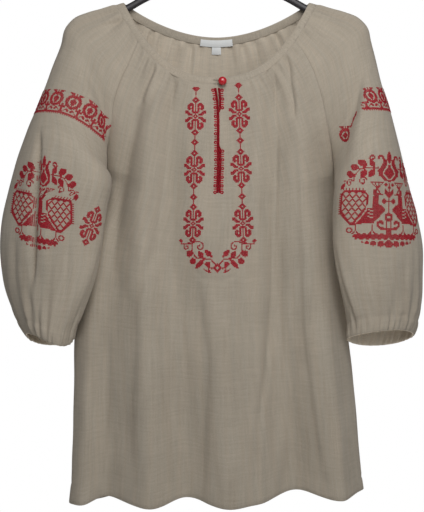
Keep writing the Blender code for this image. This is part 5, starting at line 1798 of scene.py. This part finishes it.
class BLOUSE_OT_body(BlousePiece, Operator):
    """Add the front with its neck slit and the back, gathered into the neck band and hemmed"""

    bl_idname = "blouse.body"
    bl_label = "Front and Back"

    def execute(self, context):
        front = cloth_piece("front", FRONT, FRONT_COLUMNS, BODY_LOWER_ROWS, HEM_LINE, slit=True)
        back = cloth_piece("back", BACK, BACK_COLUMNS, BODY_LOWER_ROWS, HEM_LINE)
        return {"FINISHED"}


class BLOUSE_OT_sleeves(BlousePiece, Operator):
    """Add both raglan sleeves with elastic casings at the cuffs"""

    bl_idname = "blouse.sleeves"
    bl_label = "Sleeves"

    def execute(self, context):
        sizes = SLEEVE_COLUMNS, SLEEVE_LOWER_ROWS, CUFF_LINE
        for side, name in SIDES:
            piece = cloth_piece("sleeve_" + name, SLEEVE[side], *sizes, joined=True)
        return {"FINISHED"}


class BLOUSE_OT_neck_band(BlousePiece, Operator):
    """Add the folded band that the neck is gathered into"""

    bl_idname = "blouse.neck_band"
    bl_label = "Neck Band"

    def execute(self, context):
        start = math.asin((SLIT_TOP_HALF_GAP + 0.2) / NECK_HALF_WIDTH)
        angle = np.linspace(start, CIRCLE - start, BAND_COLUMNS + 1)[:, None]
        turn = spokes(BAND_ROUND)[None, :]
        rings = band_skin(angle, turn)
        centre = rings.mean(axis=1, keepdims=True)
        ends = []
        for i, j in ((0, 3), (-1, -4)):
            ends.append(centre[i] + 0.75 * (rings[i] - centre[i]) + 0.4 * (centre[i] - centre[j]))
        rings = np.concatenate([ends[0][None], rings, ends[1][None]])
        arc = arc_length(centre[:, 0])
        u = np.concatenate([[0.0], arc, arc[-1:]])[:, None] + 0 * turn
        v = BAND_WIDTH * 0.8 * np.abs(turn / math.pi - 1) + 0 * u
        uv = np.stack([v, u], axis=-1).reshape(-1, 2) * MM
        band = tube_piece("gathered_neck_band", rings, linen(), "linen", ("neck_band",), uv=uv)
        band.data.materials.append(linen_inside_painted_light())
        # The back half's faces that look forward into the opening take the paler linen: painted light for the
        # band's inside, which the lamps leave in shade.
        for face in band.data.polygons:
            face.material_index = int(face.center.y > 0 and face.normal.y < -0.2)
        return {"FINISHED"}


class BLOUSE_OT_topstitching(BlousePiece, Operator):
    """Add the rows of stitches along the neck band, the hem and the cuffs"""

    bl_idname = "blouse.topstitching"
    bl_label = "Topstitching"

    def execute(self, context):
        lines = [row_line(FRONT, HEM_LINE), row_line(BACK, HEM_LINE)]
        lines += [row_line(SLEEVE[side], CUFF_LINE) for side in (LEFT, RIGHT)]
        angle = np.linspace(0.03, CIRCLE - 0.03, 1500)
        lines += [band_corner(angle, down) for down in (BAND_STITCH, BAND_EDGE_STITCH)]
        bundles = [stitch_line(*line, seed=41 + i) for i, line in enumerate(lines)]
        joined_threads("topstitching", bundles, linen_thread(), "linen")
        return {"FINISHED"}


class BLOUSE_OT_front_embroidery(BlousePiece, Operator):
    """Add the front's cross-stitch: a chain of rosettes on each side of the slit and the garland below"""

    bl_idname = "blouse.front_embroidery"
    bl_label = "Front Cross-Stitch"

    def execute(self, context):
        charts = [(chest_garland(), (*GARLAND_AXIS, 25, ((0.5, 1.4), (0.5, 1.3))))]
        guess = (0.45, 1.15), (0.45, 0.3)
        charts[:0] = [(chest_chain(top), (foot, head, 98, guess)) for foot, head, top in CHAIN_AXES]
        laid = [(chart.cells, lay_chart(FRONT, chart, *axis)) for chart, axis in charts]
        sew("embroidery_front", FRONT, laid, 51)
        return {"FINISHED"}


class BLOUSE_OT_sleeve_embroidery(BlousePiece, Operator):
    """Add the cross-stitch of the sleeves: a band round the upper arm, a tree of life with two birds below
    it, and a lone rosette beside the left one"""

    bl_idname = "blouse.sleeve_embroidery"
    bl_label = "Sleeve Cross-Stitch"

    def execute(self, context):
        for side, name in SIDES:
            cloth = SLEEVE[side]
            tree = medallion()
            corners = lay_chart(cloth, tree, *MEDALLION_AXIS[side], spare=6)
            charts = [(tree.cells, spread_columns(corners, tree, 6, MEDALLION_SPREAD[side]))]
            charts.append(arm_band(cloth, side, *ARM_BAND_REACH[side]))
            if side == LEFT:
                extra, axis = Chart(12, -18, 18).paint(ROSETTE), LONE_ROSETTE_AXIS
            else:
                charts[-1][0][10:, :6] = False  # only the foot of the band shows beside the fold
                extra, axis = folded_flower(), FOLDED_FLOWER_AXIS
            charts.append((extra.cells, lay_chart(cloth, extra, *axis)))
            sew("embroidery_sleeve_" + name, cloth, charts, 61 + side)
        return {"FINISHED"}


class BLOUSE_OT_slit_edging(BlousePiece, Operator):
    """Add the satin stitches, teeth and buttonhole rings along both edges of the neck slit"""

    bl_idname = "blouse.slit_edging"
    bl_label = "Slit Edging"

    def execute(self, context):
        for side, name in SIDES:
            random = np.random.default_rng(71 + side)
            low, high = TURNED_UNDER[side]
            heights = np.arange(SLIT_TOP, SLIT_FOOT, -0.52)
            folded = smooth((heights - low) / 8.0) * smooth((high - heights) / 8.0)
            gap = slit_gap(heights)
            bundles = [slit_bars(side, heights, gap - 0.4, 3.9 + gap - 3.2 * folded, random, 0.34, 0.5)]
            ring = np.arange(SLIT_TOP - 3.0, SLIT_FOOT, -RING_PITCH)
            teeth = (ring[:, None] - RING_PITCH * np.array([0.37, 0.63])).ravel()
            keep = lambda heights: heights[((heights > high) | (heights < low)) & (heights > SLIT_FOOT + 1.0)]
            bundles.append(slit_bars(side, keep(teeth), 2.8, 7.6 + slit_gap(keep(teeth)), random, 1.0, 0.75))
            ring = np.append(keep(ring), SLIT_FOOT + 1.0)
            bundles.append(slit_rings(side, ring, 5.0 + 1.6 * slit_gap(ring), random))
            joined_threads("satin_edging_" + name, bundles, red_yarn(), "red_cord", ("slit_edging_" + name,))
        return {"FINISHED"}


class BLOUSE_OT_button(BlousePiece, Operator):
    """Add the glossy ball button and the twisted loop round its shank"""

    bl_idname = "blouse.button"
    bl_label = "Button and Loop"

    def execute(self, context):
        tube_piece("ball_button", button_rings(), glossy_red(), "red_gloss", ("button",))
        rings = loop_rings()
        shade = np.full(rings[..., 0].size, 0.4)
        tube_piece("twisted_button_loop", rings, linen_thread(), "linen", ("button_loop",), shade=shade)
        return {"FINISHED"}


class BLOUSE_OT_labels(BlousePiece, Operator):
    """Add the blank neck label and the blank size label inside the back of the neck"""

    bl_idname = "blouse.labels"
    bl_label = "Labels"

    def execute(self, context):
        for node, (width, top, bottom) in (("neck_label", NECK_LABEL), ("size_label", SIZE_LABEL)):
            points, uv = label_grid(width, top, bottom)
            faces = grid_faces(*points.shape[:2]).tolist()
            tape = new_piece("woven_" + node, points, faces, label_tape(), "label_tape", (node,), uv=uv)
            give_thickness(tape, 0.0006)
        return {"FINISHED"}


class BLOUSE_OT_hanger(BlousePiece, Operator):
    """Add the moulded hanger and its wire hook with the collar at its foot"""

    bl_idname = "blouse.hanger"
    bl_label = "Hanger"

    def execute(self, context):
        tube_piece("moulded_hanger", hanger_rings(), dark_plastic(), "dark_plastic", ("hanger",))
        path = hook_path()
        above = path[:, 2] - HUB_TOP
        collar = smooth((COLLAR_HEIGHT - above) / 1.6) * (path[:, 0] < 4)
        ribs = 0.25 * np.sin(above * CIRCLE / 1.6) * collar
        radius = WIRE_RADIUS + (COLLAR_RADIUS - WIRE_RADIUS) * collar + ribs
        radius[-3:] *= (0.95, 0.75, 0.35)
        rings = rings_round(path, radius, (0, 1, 0), 24)
        tube_piece("wire_hook", rings, hook_steel(), "hook_steel", ("hanger_hook",))
        return {"FINISHED"}


class BLOUSE_OT_studio(BlousePiece, Operator):
    """Add the camera, the soft lights, the pale floor and the white surroundings"""

    bl_idname = "blouse.studio"
    bl_label = "Studio"

    def execute(self, context):
        look = context.scene.blouse_studio
        context.scene.view_settings.view_transform = "Standard"
        camera = add_object("studio_camera", bpy.data.cameras.new("studio_camera"))
        camera.data.sensor_width, camera.data.lens = 36.0, look.lens
        camera.location, camera.rotation_euler = look.eye, (math.radians(90), 0, 0)
        context.scene.camera = camera
        add_light("key_light", look.key_power, (0.12, -1.25, 0.35), 0.8)
        add_light("side_light", look.fill_power, (0.75, -1.3, -0.2), 0.5)
        add_light("back_light", look.back_power, (0.2, 1.5, 0.2), 0.9)
        add_floor(look.floor_height)
        add_surroundings(context.scene, look.room_light)
        return {"FINISHED"}


def add_light(name, power, place, size):
    """A square soft light that faces the middle of the blouse."""
    light = bpy.data.lights.new(name, "AREA")
    light.energy, light.size = power, size
    lamp = add_object(name, light)
    lamp.location = place
    lamp.rotation_euler = (Vector((0.0, 0.0, -0.4)) - Vector(place)).to_track_quat("-Z", "Y").to_euler()


def add_floor(height):
    """A disc of rings and spokes, pale, with a faint mottle. It looks pale but lights nothing."""
    radius, turn = np.linspace(0.02, 1.5, 12)[:, None], spokes(96)[None]
    points = stack(radius * np.cos(turn), radius * np.sin(turn), height).reshape(-1, 3)
    mesh = bpy.data.meshes.new("studio_floor")
    mesh.from_pydata(points.tolist(), [], grid_faces(12, 96, closed=True).tolist() + [list(range(96))])
    made = bpy.data.materials.new("studio_floor")
    made.use_nodes = True
    tree = made.node_tree
    shader = tree.nodes["Principled BSDF"].inputs
    mottle = cloud(tree, put(tree, "TexCoord", out=3), 6.0, 3.0)
    tone = tint(tree, "MIX", mottle, (0.80, 0.80, 0.79, 1), (0.84, 0.84, 0.83, 1))
    tree.links.new(tone, shader["Base Color"])
    tree.links.new(tone, shader["Emission Color"])
    tree.links.new(reckon(tree, "MULTIPLY", put(tree, "LightPath"), 0.45), shader["Emission Strength"])
    shader["Roughness"].default_value = 0.7
    mesh.materials.append(made)
    add_object("studio_floor", mesh)


def add_surroundings(scene, strength):
    """White to the camera, and dimmer as a light."""
    world = bpy.data.worlds.new("studio_surroundings")
    scene.world = world
    world.use_nodes = True
    tree = world.node_tree
    background = tree.nodes["Background"]
    background.inputs["Color"].default_value = (1.0, 1.0, 1.0, 1.0)
    to_camera = put(tree, "LightPath", out=0)
    shown = reckon(tree, "MULTIPLY_ADD", to_camera, 1.0 - strength, strength)
    tree.links.new(shown, background.inputs["Strength"])


OPERATORS = (
    BLOUSE_OT_body,
    BLOUSE_OT_sleeves,
    BLOUSE_OT_neck_band,
    BLOUSE_OT_topstitching,
    BLOUSE_OT_front_embroidery,
    BLOUSE_OT_sleeve_embroidery,
    BLOUSE_OT_slit_edging,
    BLOUSE_OT_button,
    BLOUSE_OT_labels,
    BLOUSE_OT_hanger,
    BLOUSE_OT_studio,
)


class BLOUSE_PT_pieces(Panel):
    """Lists the settings and the pieces of the blouse"""

    bl_idname = "BLOUSE_PT_pieces"
    bl_label = "Blouse"
    bl_space_type = "VIEW_3D"
    bl_region_type = "UI"
    bl_category = "Blouse"

    def draw(self, context):
        layout = self.layout
        for name, group in SETTINGS.items():
            box = layout.box()
            for setting in group.__annotations__:
                box.prop(getattr(context.scene, name), setting)
        for operator in OPERATORS:
            layout.operator(operator.bl_idname)


def register():
    for name, group in SETTINGS.items():
        bpy.utils.register_class(group)
        setattr(bpy.types.Scene, name, PointerProperty(type=group))
    for made in (*OPERATORS, BLOUSE_PT_pieces):
        bpy.utils.register_class(made)


def unregister():
    for made in (BLOUSE_PT_pieces, *reversed(OPERATORS)):
        bpy.utils.unregister_class(made)
    for name, group in reversed(SETTINGS.items()):
        delattr(bpy.types.Scene, name)
        bpy.utils.unregister_class(group)


def main():
    register()
    for operator in OPERATORS:
        group, name = operator.bl_idname.split(".")
        getattr(getattr(bpy.ops, group), name)()


if __name__ == "__main__":
    main()
